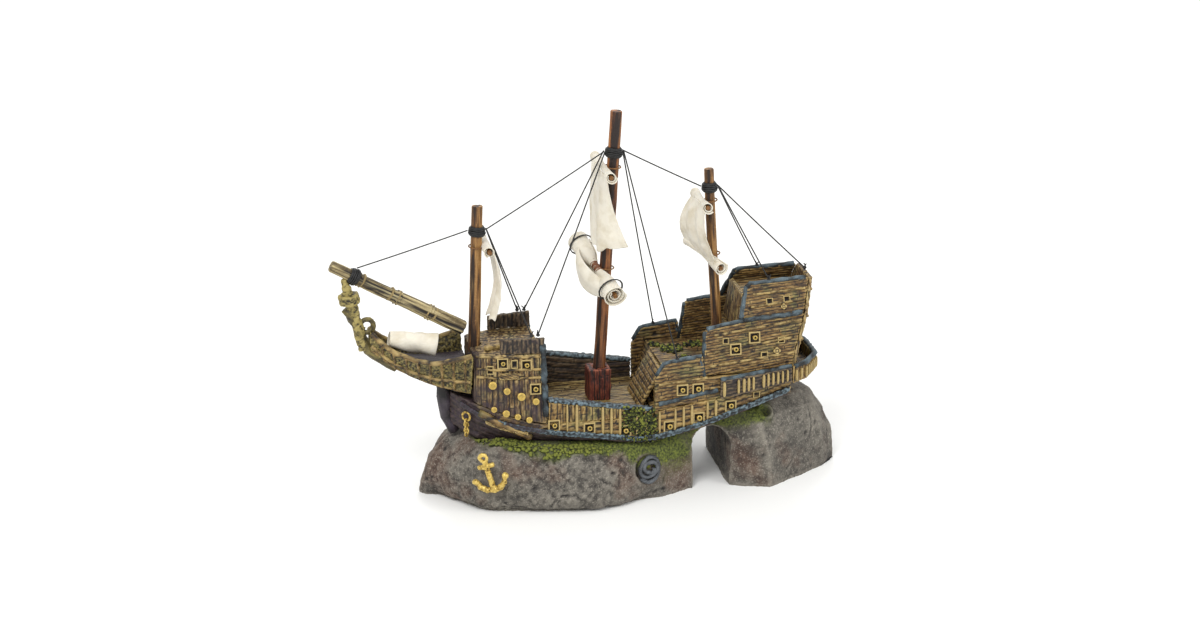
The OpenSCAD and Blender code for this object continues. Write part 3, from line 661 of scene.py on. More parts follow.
# Green flock and paint. On the tufts its pale tone is painted highlight on their tops and its dark tone
# painted shade at their feet.
MOSS = Finish(
    "green_flock", ("#46511a", "#626b26", "#2c350f"), "#0b0f04", "#9a9d3e",
    roughness=0.9, patch=3, grit=0.3, brushed=0.6, fleck=0.15,
)
# Stained softwood dowel, with its grain along it.
MAST = Finish(
    "stained_pine_dowel", ("#7b431c", "#925323", "#562711"), "#1c0c05", "#c3874a",
    grain=Coat.UPRIGHT, patch=2, grit=0.3, brushed=0.5,
)
FORE_WOOD = Finish(
    "pale_pine_dowel", ("#96632a", "#ab7a3a", "#6b3f18"), "#231206", "#d8ae6c",
    grain=Coat.UPRIGHT, patch=2, grit=0.3, brushed=0.5,
)
# The square step of the mainmast, stained red-brown.
STEP = Finish("red_stained_block", ("#591d10", "#6b2817", "#42140b"), "#140503", "#a0583c",
              grain=Coat.UPRIGHT, patch=2)
# Bowsprit: bleached wood with dark splits.
SPRIT = Finish("cast_resin_bleached_wood", ("#877244", "#a28c5c", "#645029"), "#171007", "#dccd9c",
               grain=Coat.ALONG, patch=2)
# Dark grey cast rope.
ROPE = Finish("cast_resin_rope", ("#26272a", "#34363a", "#1b1c1e"), "#060607", "#70757a", patch=2)
# Waxed polyester thread.
THREAD = Finish("waxed_black_thread", ("#0e0e0e", "#161616", "#0a0a0a"), "#050505", "#262626",
                roughness=0.5, patch=1, grit=0.15)
# Thin dowel, stained and dark in its open grain.
YARD = Finish("stained_yard_dowel", ("#6d4319", "#845a27", "#4c2b10"), "#180c05", "#b88c4b", patch=1.5,
              grit=0.2)
# Tarred hemp twine, brown.
OLD_TWINE = Finish("tarred_twine", ("#6f3f22", "#84502e", "#522c17"), "#1c0d06", "#b58a63", patch=1.5,
                   grit=0.2)
# Sintered mineral air stone.
STONE = Finish("sintered_air_stone", ("#6f8494", "#7f95a5", "#5d7080"), "#2c3640", "#a9bac6", roughness=0.9,
               grit=0.35, relief=0.3)
# Dark moulded clip.
CLIP = Finish("black_abs", ("#1b1b1b", "#222222", "#161616"), "#0a0a0a", "#333333", roughness=0.45)


@dataclass(frozen=True)
class Cloth(Surface):
    """Plain-woven cotton stiffened with glue: the threads are drawn 0.45 mm apart so that they show."""

    name: str = "stiffened_cotton"
    pitch: float = 0.45

    def sockets(self, tree: Nodes) -> dict[str, object]:
        """A weave on the piece's own UV map, which is in millimetres, with faint stains and painted shade in
        its folds.
        """
        uv = add(tree, "UVMap", {}, uv_map="cut").outputs["UV"]
        waves = [
            add(tree, "TexWave", {"Vector": uv, "Scale": 1 / (self.pitch * 3.2)},
                bands_direction=way).outputs["Fac"]
            for way in ("X", "Y")
        ]
        weave = add(tree, "Math", {0: waves[0], 1: waves[1]}, operation="ADD").outputs[0]
        place = add(tree, "TexCoord", {}).outputs["Object"]
        stain = Finish.spread(tree, Finish.noise(tree, place, 9, 4), 0.45, 0.75)
        colour = Finish.mix(tree, stain, linear("#ded8c9"), linear("#c3b89f"))
        # Painted shade: the cloth turns grey-brown in its folds.
        colour = Finish.mix(tree, Finish.attribute(tree, "cavity", 0.55), colour, linear("#9b8f7a"))
        bump = add(tree, "Bump", {"Height": weave, "Strength": 0.35, "Distance": 0.12 * MM})
        return {
            "Base Color": colour, "Roughness": 0.82, "Sheen Weight": 0.15, "Normal": bump.outputs["Normal"],
            "Subsurface Weight": 0.08, "Subsurface Radius": (0.004, 0.003, 0.002),
        }


@dataclass(frozen=True)
class Clear(Surface):
    """Clear moulded PVC, slightly cloudy."""

    name: str = "clear_pvc"

    def sockets(self, tree: Nodes) -> dict[str, object]:
        """Clear plastic with a slight haze."""
        place = add(tree, "TexCoord", {}).outputs["Object"]
        haze = Finish.noise(tree, place, 3, 3)
        colour = Finish.mix(tree, haze, linear("#c9d6d6"), linear("#b4c4c6"))
        bump = add(tree, "Bump", {"Height": haze, "Strength": 0.2, "Distance": 0.05 * MM})
        return {
            "Base Color": colour, "Roughness": 0.25, "Transmission Weight": 0.5, "IOR": 1.53,
            "Normal": bump.outputs["Normal"],
        }


CLOTH = Cloth()
CLEAR = Clear()


def dress(obj: Piece, finish: Finish | Cloth | Clear,
          body: str = SHIP) -> Piece:
    """Gives a piece its finish and the body that it rides on."""
    obj.data.materials.clear()
    obj.data.materials.append(finish.material())
    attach(obj, body)
    LOG.info("%s: %s on %s", obj.name, finish.name, body)
    return obj


# ---------------------------------------------------------------- carved resin


class Boards(Enum):
    """Which way the planks of a carved piece run."""

    ALONG = "along"
    UPRIGHT = "upright"
    NONE = "none"


@dataclass
class Carving:
    """A cast resin piece: the CAD node's form with planks, grain and knocks cut into its surface."""

    frame: Frame
    node: str
    finish: Finish
    slot: str
    boards: Boards = Boards.ALONG
    voxel: float = 0.55
    width: float = 3.0
    length: float = 26.0
    depth: float = 0.42
    rough: float = 0.22
    body: str = SHIP
    slope: float | None = None
    seed: int = 1

    def sheer(self, x: Points) -> Points:
        """Height of the planks' run: a plain slope, or the hull's own curve."""
        if self.slope is not None:
            return self.slope * x
        return np.where(x < SHEER_LOW, 0.0030, 0.0024) * (x - SHEER_LOW) ** 2

    def burnt(self, co: Points) -> Points:
        """Where the resin is near black: the stem, the strake below the wale and the broken bow."""
        if self.node not in ("hull", "forecastle", "beak_keel", "wales"):
            return np.zeros(len(co))
        x, _, z = co.T
        wale = np.interp(x, *self.frame.wale())
        ragged = lumps(co, 7, 3, 77)
        bow = 1 - smoothstep(-63, -55, x + 3 * ragged)
        under = (1 - smoothstep(-2.2, -0.8, z - wale + 0.5 * ragged)) * (self.node != "wales")
        broken = (1 - smoothstep(-33, -26, x)) * smoothstep(-3, 0, z - wale)
        broken *= 1 - smoothstep(62, 67, z + 2.5 * ragged)
        broken *= smoothstep(-0.55, 0.15, ragged)
        return np.clip(0.92 * np.maximum(np.maximum(bow, under), 0.85 * broken), 0, 1)

    def seams(self, co: Points, normal: Points) -> tuple[Points, Points]:
        """Depth of the plank seams, 0 to 1, and each plank's own number, 0 to 1."""
        if self.boards is Boards.NONE:
            return np.zeros(len(co)), hashed(np.floor(co / 7), self.seed)
        x, y, z = co.T
        flat = np.abs(normal[:, 2]) > 0.75
        if self.boards is Boards.ALONG:
            across = np.where(flat, y, z - self.sheer(x))
            along = x
        else:
            across = np.where(flat, y, np.where(np.abs(normal[:, 0]) > 0.8, y, x))
            along = np.where(flat, x, z)
        wander = 0.25 * value_noise(co, 14, self.seed + 5)
        across = across + wander + 0.5 * self.seed * self.width
        row = np.floor(across / self.width)
        cells = np.stack([row, row * 0, row * 0], 1)
        along = along + hashed(cells, self.seed) * self.length
        edge = groove(across, self.width, min(0.5, 0.19 * self.width))
        butt = groove(along, self.length, 0.35)
        board = hashed(np.stack([row, np.floor(along / self.length), row * 0], 1), self.seed + 3)
        return np.maximum(edge, 0.8 * butt), board

    def build(self) -> Piece:
        """Carves the node's copy and puts it in the node's place."""
        obj = self.frame.copy(self.node, self.node + "_carved")
        modify(obj, "REMESH", mode="VOXEL", voxel_size=self.voxel * MM)
        co, normal = read(obj), read(obj, "normal")
        seam, board = self.seams(co, normal)
        stretch = np.array((0.3, 1, 1)) if self.boards is Boards.ALONG else np.array((1, 1, 0.3))
        grain = lumps(co * (stretch if self.boards is not Boards.NONE else 1), 1.3, 3, self.seed)
        knock = np.clip(lumps(co, 6, 2, self.seed + 9) - 0.75, 0, 1)
        port = self.frame.ports(co, normal)
        lift = -self.depth * seam + self.rough * grain + 0.16 * (board - 0.5) - 1.1 * knock
        lift = lift * (1 - port) - 1.2 * port
        write(obj, co + normal * lift[:, None])
        sunk = hollowness(obj)
        dark = 0.7 * seam + 4.5 * sunk + 0.9 * knock + 0.24 - 0.4 * grain
        note(
            obj,
            # Inside the ports and windows the dark tone goes on in full as painted shade; elsewhere it is the
            # wash in seams, hollows and knocks.
            cavity=np.clip(np.maximum(dark, 1.3 * port), 0, 1),
            wear=np.clip(-6 * sunk - 0.25 + 0.4 * grain, 0, 1) * (1 - port),
            char=self.burnt(co),
            board=board,
        )
        smooth(obj)
        dress(obj, self.finish, self.body)
        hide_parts(self.node)
        return obj


# ---------------------------------------------------------------- trim on the hull


@dataclass
class Trim:
    """Small mouldings, ports, frames and guns that are cast on the ship's sides."""

    frame: Frame
    walls: tuple[str, ...] = (
        "hull", "port_waist_bulwark", "starboard_waist_bulwark", "forecastle", "port_tier_wall",
        "starboard_tier_wall", "port_quarter_wall", "starboard_quarter_wall", "port_poop_wall",
        "starboard_poop_wall", "port_gallery", "starboard_gallery", "beak_port_side", "beak_starboard_side",
        "forecastle_rail",
    )
    # The stern's runs: first and last x, how many points, height, slope and the x of that height
    mouldings: tuple[tuple[float, ...], ...] = (
        (55, 100, 18, 66.2, 0.07, 52), (57, 103, 18, 72.6, 0.1, 52), (58, 104, 18, 81.2, 0.09, 52),
        (78, 106, 14, 93.0, 0.06, 72), (80, 107, 14, 98.4, 0.05, 72), (29, 56, 12, 59.5, 0.08, 29),
    )
    bands: tuple[tuple[float, ...], ...] = ((60, 107, 18, 87.2, 0.045, 60), (29, 59, 12, 49.4, 0.17, 29))

    def bead(self, name: str, runs: list[list[Vector]], radius: float, finish: Finish,
             rough: float = 0.12) -> Piece:
        """Half-round mouldings along lines of points, knocked about a little, with painted highlight on their
        upper faces.

        Args:
            name: the piece's name.
            runs: lists of points in millimetres.
            radius: the moulding's radius.
            finish: its paint.
            rough: how far its surface wanders.

        Returns:
            The finished piece.
        """
        made = [swept(name, self.finer(run, radius), radius) for run in runs]
        obj = join(made, name)
        tidy(obj, outward=True)
        co, normal = read(obj), read(obj, "normal")
        wander = lumps(co, 2.2, 3, 31)
        write(obj, co + normal * (rough * wander)[:, None])
        note(
            obj,
            cavity=np.clip(0.25 - 0.7 * wander, 0, 1),
            # Pale where the surface stands out, plus painted highlight on the faces that look up.
            wear=np.clip(0.05 + 0.35 * normal[:, 2] + 0.5 * wander, 0, 1),
            board=hashed(np.floor(co / 6), 4),
        )
        smooth(obj)
        return dress(obj, finish)

    @staticmethod
    def finer(run: list[Vector], step: float) -> list[Vector]:
        """The same line with points about a step apart."""
        out = [run[0]]
        for a, b in zip(run, run[1:]):
            count = max(1, round((b - a).length / (1.3 * step)))
            out += [a.lerp(b, (k + 1) / count) for k in range(count)]
        return out

    def along(self, nodes: tuple[str, ...], xs: Iterable[float], z: Callable[[float], float], way: int,
              lift: float = 0.0) -> list[Vector]:
        """Points on a side at each x and its height, lifted off the surface."""
        out = []
        for x in xs:
            found = self.frame.side(nodes, x, z(x), way)
            if found:
                out.append(found[0] + found[1] * lift)
        return out

    def runs(self, nodes: tuple[str, ...], rows: tuple[tuple[float, ...], ...], way: int,
             lift: float) -> list[list[Vector]]:
        """Lines of points on a side, one for each row: first and last x, how many, height, slope, level x."""
        made = []
        for start, stop, count, height, slope, level in rows:
            xs = np.linspace(start, stop, count)
            made.append(self.along(nodes, xs, lambda x: height + slope * (x - level), way, lift))
        return [run for run in made if len(run) > 1]

    def surround(self) -> Piece:
        """An open square frame, two units across, to go round a port, with painted shade on its inner faces.
        """
        bpy.ops.mesh.primitive_cube_add(size=1)
        obj = bpy.context.object
        obj.scale = Vector((2.7, 0.9, 2.7)) * MM
        settle(obj)
        bpy.ops.object.mode_set(mode="EDIT")
        bpy.ops.mesh.select_all(action="DESELECT")
        bpy.ops.mesh.select_mode(type="FACE")
        bpy.ops.object.mode_set(mode="OBJECT")
        for face in obj.data.polygons:
            face.select = abs(face.normal.y) > 0.9
        bpy.ops.object.mode_set(mode="EDIT")
        bpy.ops.mesh.inset(thickness=0.38 * MM)
        bpy.ops.mesh.bridge_edge_loops()
        bpy.ops.object.mode_set(mode="OBJECT")
        modify(obj, "BEVEL", width=0.12 * MM, segments=2)
        modify(obj, "SUBSURF", levels=1, render_levels=1, subdivision_type="SIMPLE")
        co = read(obj)
        inner = np.maximum(np.abs(co[:, 0]), np.abs(co[:, 2])) < 1.02
        note(
            obj,
            # Painted shade on the inner faces beside the opening; the front face is dry-brushed pale.
            cavity=np.where(inner, 0.8, 0.15),
            wear=np.where(inner, 0.0, 0.25 + 0.5 * (co[:, 1] > 0.3)),
            board=0.3,
        )
        return obj

    def muzzle(self, blank: bool) -> Piece:
        """A gun's muzzle, one unit in radius: a barrel with a swell, and a bore painted dark as painted shade
        unless it is blank.
        """
        bpy.ops.mesh.primitive_cylinder_add(vertices=20, radius=0.82 * MM, depth=2 * MM,
                                            rotation=(math.pi / 2, 0, 0))
        obj = settle(bpy.context.object)
        bpy.ops.object.mode_set(mode="EDIT")
        bpy.ops.mesh.select_all(action="DESELECT")
        bpy.ops.object.mode_set(mode="OBJECT")
        max(obj.data.polygons, key=lambda p: p.normal.y).select = True
        bpy.ops.object.mode_set(mode="EDIT")
        bpy.ops.mesh.select_mode(type="FACE")
        steps = ((1.22, 0.12), (1.0, 0.3), (0.86, 0.1), (0.5, 0.0), (0.95, -0.1 if blank else -1.2))
        for grow, out in steps:
            bpy.ops.mesh.extrude_region_move(TRANSFORM_OT_translate={"value": (0, out * MM, 0)})
            bpy.ops.transform.resize(value=(grow, 1, grow))
        bpy.ops.object.mode_set(mode="OBJECT")
        co = read(obj)
        off = np.hypot(co[:, 0], co[:, 2])
        note(
            obj,
            # The hollow bore is painted fully dark as painted shade; a blank face is only a little darker in
            # its middle.
            cavity=np.where(off < 0.5, 0.25 if blank else 1.0, 0.05),
            wear=np.where(co[:, 1] > 1.1, 0.5, 0.1),
            board=0.4,
        )
        smooth(obj, 40)
        return obj

    def guns(self) -> None:
        """The muzzles: big blank tompions at the bow, and hollow ones in their ports."""
        for node, way in (("port_cannons", -1), ("starboard_cannons", 1)):
            barrels = {False: [], True: []}
            for points in self.frame.parts(node):
                low, high = points.min(0), points.max(0)
                radius = (high[2] - low[2]) / 2
                middle = Vector((low + high) / 2)
                found = self.frame.side(self.walls, middle.x, middle.z, way)
                if found:
                    big = radius > 1.4
                    scale = radius * (1.05 if big else 0.95) * (1 + 0.1 * math.sin(5 * middle.x))
                    at = found[0] + found[1] * (0.1 if big else 0.2)
                    turn = Vector((0.06 * math.sin(7 * middle.x), way, 0.25))
                    barrels[big].append(facing(at, turn, scale=Vector((scale, scale, scale))))
            made = [copies(self.muzzle(big), spots, "barrels") for big, spots in barrels.items() if spots]
            muzzles = join(made, node + "_muzzles")
            dress(muzzles, GOLD)
            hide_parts(node)

    def frames(self) -> None:
        """A pale frame round every port and window."""
        places = []
        for way in (-1, 1):
            for x, z, w, h in self.frame.openings():
                found = self.frame.side(self.walls, x, z, way)
                if found:
                    places.append(facing(found[0] + found[1] * 0.15, found[1], scale=Vector((w, 1, h))))
        dress(copies(self.surround(), places, "port_frames"), CREAM)

    def post(self) -> Piece:
        """One baluster, a millimetre high: a softened bar, worn pale on its face."""
        post = bar((1.5, 1.7, 1), 0.35)
        note(
            post,
            cavity=0.1,
            wear=np.where(read(post)[:, 1] > 0.5, 0.6, 0.1),
            board=0.2,
        )
        return post

    def stanchions(self) -> None:
        """Upright timbers, pale on their edges, along the waist, the tiers and the galleries."""
        post = self.post()
        places = []
        for way in (-1, 1):
            for x, low, high in self.posts(way):
                mid = self.frame.side(self.walls, x, (low + high) / 2, way)
                if mid:
                    jitter = float(hashed(np.array([[x * 10, way, 0]]), 3)[0]) - 0.5
                    at = Vector((x + 0.5 * jitter, mid[0].y, (low + high) / 2))
                    places.append(facing(at + mid[1] * 0.15, mid[1],
                                         scale=Vector((0.8 + 0.4 * jitter, 1, high - low))))
        dress(copies(post, places, "stanchions"), CREAM)

    def blocked(self, x: float) -> bool:
        """Whether a stanchion at x would stand in front of a gun in the waist."""
        return any(abs(x - hole[0]) < hole[2] + 0.5 and hole[1] < 54 for hole in self.frame.openings())

    def posts(self, way: int) -> list[tuple[float, float, float]]:
        """Each stanchion's x, foot and head on one side, between the timbers that hold it."""
        side = "port" if way < 0 else "starboard"
        rows = (
            ("wales", "waist_rails", np.arange(-26, 25, 4.4)),
            ("wales", side + "_tier_wall", np.arange(29.5, 60, 4.1)),
            (side + "_gallery", side + "_gallery", np.arange(61.5, 97.5, 2.6)),
        )
        out = []
        for under, over, xs in rows:
            for x in xs:
                if self.blocked(x):
                    continue
                if under == over:
                    foot, head = self.frame.rim(under, 0, x, 2, -1), self.frame.rim(over, 0, x, 2, 1)
                else:
                    foot = self.frame.rim(under, 0, x, 1, way)
                    head = self.frame.rim(over, 0, x, 2, -1 if over.endswith("wall") else 1)
                    head = self.frame.rim(over, 0, x, 1, way) if over == "waist_rails" else head
                if foot and head:
                    out.append((float(x), foot.z + 1.1, head.z - 0.7))
        return out

    def rails(self) -> None:
        """Slate caps on the walls, green-grey mouldings on the stern and cream beads on the beakhead."""
        for way, side in ((-1, "port"), (1, "starboard")):
            caps = []
            for node, start, stop in ((f"{side}_tier_wall", 28, 52), (f"{side}_quarter_wall", 55, 108),
                                      (f"{side}_poop_wall", 77, 108), (f"{side}_gallery", 60.3, 97.5)):
                run = [self.frame.rim(node, 0, x, 2, 1) for x in np.linspace(start, stop, 14)]
                caps.append([p + Vector((0, 0, 0.3)) for p in run if p])
            for node, low, high in ((f"{side}_quarter_wall", 62.5, 83.5),
                                    (f"{side}_poop_wall", 85.5, 102.5)):
                run = [self.frame.rim(node, 2, z, 0, -1) for z in np.linspace(low, high, 8)]
                caps.append([p for p in run if p])
            self.bead(f"{side}_rail_caps", [c for c in caps if len(c) > 1], 1.25, SLATE, 0.3)
            wall = (f"{side}_quarter_wall", f"{side}_poop_wall", f"{side}_tier_wall", "hull")
            pale = self.runs(wall, self.mouldings, way, 0.1)
            self.bead(f"{side}_stern_mouldings", pale, 0.62, CREAM, 0.14)
            slate = self.runs(wall, self.bands, way, 0.2)
            self.bead(f"{side}_slate_bands", slate, 1.15, SLATE, 0.3)
            self.beak(way, side)
            self.castle(way, side)

    def castle(self, way: int, side: str) -> None:
        """The forecastle's mouldings and the slate post at its after edge."""
        level = [(-60.5, -28, 12, z, 0, 0) for z in (66.6, 70.7, 76.9)]
        pale = self.runs(("forecastle", "hull"), level, way, 0.1)
        self.bead(f"{side}_castle_mouldings", pale, 0.65, CREAM, 0.15)
        hits = [self.frame.side(("forecastle", "forecastle_rail"), -28, z, way) for z in range(47, 86, 3)]
        post = [hit[0] + hit[1] * 0.3 for hit in hits if hit]
        self.bead(f"{side}_castle_post", [post], 1.5, SLATE, 0.4)

    def beak(self, way: int, side: str) -> None:
        """The beakhead's rails, its dividing bead and its ribs, which frame two rows of dark panels."""
        node = f"beak_{side}_side"
        xs = np.linspace(-110.5, -63.4, 22)
        top = [p for p in (self.frame.rim(node, 0, x, 2, 1) for x in xs) if p]
        low = [p for p in (self.frame.rim(node, 0, x, 2, -1) for x in xs) if p]
        rail = [p + Vector((0, 0.3 * way, 0.1)) for p in top]
        self.bead(f"beak_{side}_top_rail", [rail], 1.3, CREAM, 0.2)
        divide = []
        ribs = []
        for t, b in zip(top, low):
            z = b.z + 0.3 * (t.z - b.z)
            found = self.frame.side((node,), t.x, z, way)
            if found:
                divide.append(found[0] + found[1] * 0.15)
        for x in np.arange(-106, -64, 5.6):
            t, b = self.frame.rim(node, 0, x, 2, 1), self.frame.rim(node, 0, x + 1.6, 2, -1)
            if not (t and b):
                continue
            run = []
            for share in np.linspace(0.03, 0.97, 7):
                found = self.frame.side((node,), x + 1.6 * (1 - share), b.z + share * (t.z - b.z), way)
                if found:
                    run.append(found[0] + found[1] * 0.1)
            if len(run) > 1:
                ribs.append(run)
        foot = [p + Vector((0, 0.5 * way, 0.5)) for p in low]
        self.bead(f"beak_{side}_beads", [divide, foot], 0.85, CREAM, 0.18)
        self.bead(f"beak_{side}_ribs", ribs, 0.65, CREAM, 0.15)

    def rosettes(self) -> None:
        """Four-petalled carved bosses on the stern."""
        bpy.ops.mesh.primitive_cylinder_add(vertices=24, radius=1.9 * MM, depth=0.9 * MM,
                                            rotation=(math.pi / 2, 0, 0))
        boss = settle(bpy.context.object)
        modify(boss, "BEVEL", width=0.25 * MM, segments=2)
        modify(boss, "REMESH", mode="VOXEL", voxel_size=0.22 * MM)
        co = read(boss)
        angle = np.arctan2(co[:, 2], co[:, 0])
        off = np.hypot(co[:, 0], co[:, 2])
        petal = np.abs(np.cos(2 * angle)) * smoothstep(0.4, 1.7, off)
        scale = 1 - 0.28 * (1 - np.abs(np.cos(2 * angle))) * smoothstep(1.0, 1.9, off)
        co[:, 0] *= scale
        co[:, 2] *= scale
        co[:, 1] += np.where(co[:, 1] > 0, 0.5 * petal - 0.35 * np.exp(-(((off - 0.75) / 0.2) ** 2)), 0)
        write(boss, co)
        sunk = hollowness(boss)
        note(
            boss,
            cavity=np.clip(9 * sunk + 0.2, 0, 1),
            wear=np.clip(0.35 - 8 * sunk, 0, 1),
            board=0.2,
        )
        smooth(boss)
        places = []
        for way in (-1, 1):
            for x, z, size in ((90.6, 71.2, 1.0), (95.0, 92.6, 0.8)):
                found = self.frame.side(self.walls, x, z, way)
                if found:
                    places.append(facing(found[0] + found[1] * 0.3, found[1],
                                         scale=Vector((size, size, size))))
        dress(copies(boss, places, "rosettes"), CREAM)

    def stern(self) -> None:
        """The transom's windows, each filled with a dark plate as painted shade, and the rail and balusters
        round the stern gallery.
        """
        low, high = map(Vector, corners("stern_gallery"))
        hits = [self.frame.abaft("stern_gallery", y, high.z - 2) for y in np.linspace(-26.5, 26.5, 27)]
        hits = [hit for hit in hits if hit]
        rail = [Vector((p.x - 0.6, p.y, high.z)) for p, _ in hits]
        self.bead("stern_gallery_rail", [rail], 1.35, SLATE, 0.3)
        post = self.post()
        middle = (low.z + high.z) / 2 - 0.3
        across, slim = Vector((0, 1, 0)), Vector((0.8, 1, 5.6))
        places = [facing(Vector((p.x, p.y, middle)) + n * 0.1, n, across, slim) for p, n in hits]
        dress(copies(post, places, "stern_balusters"), CREAM)
        rings, window_shade_plates = [], []
        for z, ys in ((70, (-15, -7.5, 0, 7.5, 15)), (81.5, (-12, -4, 4, 12)), (93, (-8, 0, 8))):
            for y in ys:
                p, n = self.frame.abaft("transom", y, z)
                rings.append(facing(p + n * 0.3, n, across, Vector((1.9, 1, 2.6))))
                window_shade_plates.append(facing(p + n * 0.3, n, across, Vector((1.8, 1, 2.5))))
        dress(copies(self.surround(), rings, "transom_frames"), CREAM)
        # A dark plate in each window frame: painted shade standing for the dark inside.
        window_shade_plate = bar((2, 0.5, 2), 0.1)
        note(window_shade_plate, cavity=1.0)
        dress(copies(window_shade_plate, window_shade_plates, "transom_panes"), CHARRED)
        runs = []
        for z in (64, 75.5, 87, 99):
            row = [self.frame.abaft("transom", y, z) for y in np.linspace(-21, 21, 22)]
            runs.append([hit[0] + Vector((0.2, 0, 0)) for hit in row if hit])
        self.bead("transom_mouldings", runs, 0.8, CREAM, 0.2)

    def build(self) -> None:
        """Puts all the trim on the ship."""
        self.guns()
        self.stanchions()
        self.rails()
        self.frames()
        self.rosettes()
        self.stern()


# ---------------------------------------------------------------- timber


@dataclass
class Dowel:
    """A wooden mast, yard or bowsprit, whittled round its CAD axis, with open grain."""

    frame: Frame
    node: str
    finish: Finish
    slot: str
    body: str = SHIP
    grain: float = 0.14
    bands: tuple[float, ...] = ()

    def build(self) -> Piece:
        """Carves grain along the rod and knocks its ends."""
        obj = self.frame.copy(self.node, self.node + "_whittled")
        modify(obj, "REMESH", mode="VOXEL", voxel_size=0.3 * MM)
        axis = self.frame.line(self.node)
        co, normal = read(obj), read(obj, "normal")
        way = np.array((axis.high - axis.low).normalized())
        run = (co - np.array(axis.low)) @ way
        off = co - np.array(axis.low) - np.outer(run, way)
        stretched = off + np.outer(run, way) * 0.06
        grain = lumps(stretched, 1.1, 3, 7)
        split = np.clip(lumps(stretched, 2.4, 2, 12) - 0.45, 0, 1)
        end = smoothstep(-0.9, 0.2, -np.minimum(run, run.max() - run))
        bend = 0.35 * value_noise(np.stack([run, run * 0, run * 0], 1), 26, 3)
        side = np.cross(way, (0, 1, 0))
        lift = self.grain * grain - 0.7 * split - 0.25 * end * (1 + grain)
        outside = np.linalg.norm(off, axis=1) > 1
        for band in self.bands:
            for offset in (-0.75, 0.75):
                lift += 0.65 * np.exp(-(((run - band - offset) / 0.42) ** 2)) * outside
        write(obj, co + normal * lift[:, None] + np.outer(bend * (1 - end), side))
        note(
            obj,
            cavity=np.clip(0.32 - 0.55 * grain + 2.2 * split, 0, 1),
            wear=np.clip(0.1 + 0.75 * grain - split, 0, 1),
            board=np.clip(0.5 + 0.7 * lumps(stretched, 3.2, 2, 21), 0, 1),
        )
        smooth(obj)
        dress(obj, self.finish, self.body)
        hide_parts(self.node)
        return obj


# ---------------------------------------------------------------- cloth


@dataclass
class Sail:
    """A sheet of stiffened cotton, shaped from a flat grid with its head on a yard.

    The sheet is wide by high millimetres before it is hung. place turns shares across and down it,
    each from 0 to 1, into points in millimetres.
    """

    name: str
    wide: float
    high: float
    place: Callable[[Points, Points], Points]
    body: str
    rests_on: tuple[str, ...]
    replaces: tuple[str, ...] = ()
    held: str = "hung"
    thick: float = 0.45
    step: float = 0.55
    crease: float = 0.25
    ragged: tuple[str, ...] = ("foot",)
    seed: int = 1

    def build(self) -> Piece:
        """Makes the grid, hangs it, wrinkles it, paints shade into its folds and gives it its thickness."""
        nx, ny = max(8, round(self.wide / self.step)), max(8, round(self.high / self.step))
        bpy.ops.mesh.primitive_grid_add(x_subdivisions=nx, y_subdivisions=ny, size=1)
        obj = bpy.context.object
        obj.name = self.name
        obj.data.name = self.name
        flat = read(obj) * MM
        u, v = flat[:, 0] + 0.5, 0.5 - flat[:, 1]
        cut = np.stack([u * self.wide, v * self.high, 0 * u], 1)
        fray = 0.9 * lumps(cut, 3.0, 3, self.seed + 2)
        if "foot" in self.ragged:
            v = v + np.where(v > 0.9, fray / self.high, 0) * (v - 0.9) / 0.1
        if "side" in self.ragged:
            u = u + np.where(u < 0.12, fray * 1.2 / self.wide, 0) * (0.12 - u) / 0.12
        uv = obj.data.uv_layers[0]
        uv.name = "cut"
        loops = np.empty(len(obj.data.loops), dtype=np.int64)
        obj.data.loops.foreach_get("vertex_index", loops)
        uv.data.foreach_set("uv", cut[loops][:, :2].astype(np.float32).ravel())
        write(obj, self.place(u, v))
        normal = read(obj, "normal")
        folds = lumps(cut * (1, 0.35, 1), 7, 3, self.seed)
        folds += 0.5 * lumps(cut * (0.6, 1, 1), 3.2, 2, self.seed + 5)
        write(obj, read(obj) + normal * (self.crease * folds)[:, None])
        # Painted shade in the folds: the deeper the fold, the darker the cloth.
        note(obj, cavity=np.clip(-0.7 * folds, 0, 1) * 0.5)
        modify(obj, "SOLIDIFY", thickness=self.thick * MM, offset=0)
        smooth(obj)
        obj.data.materials.append(CLOTH.material())
        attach(obj, self.body)
        if self.replaces:
            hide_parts(*self.replaces)
        LOG.info("%s: %s on %s", self.name, CLOTH.name, self.body)
        return obj


@dataclass(frozen=True)
class Roll:
    """How cloth is rolled round its yard, with sizes in millimetres."""

    inner: float
    outer: float
    turns: float
    seed: int
    # How much thinner it is at the mast, and how far along the yard that reaches, as a share of it
    pinch: float = 0.0
    grip: float = 0.3
    # Where it starts and stops, as shares of the yard
    start: float = 0.0
    stop: float = 1.0


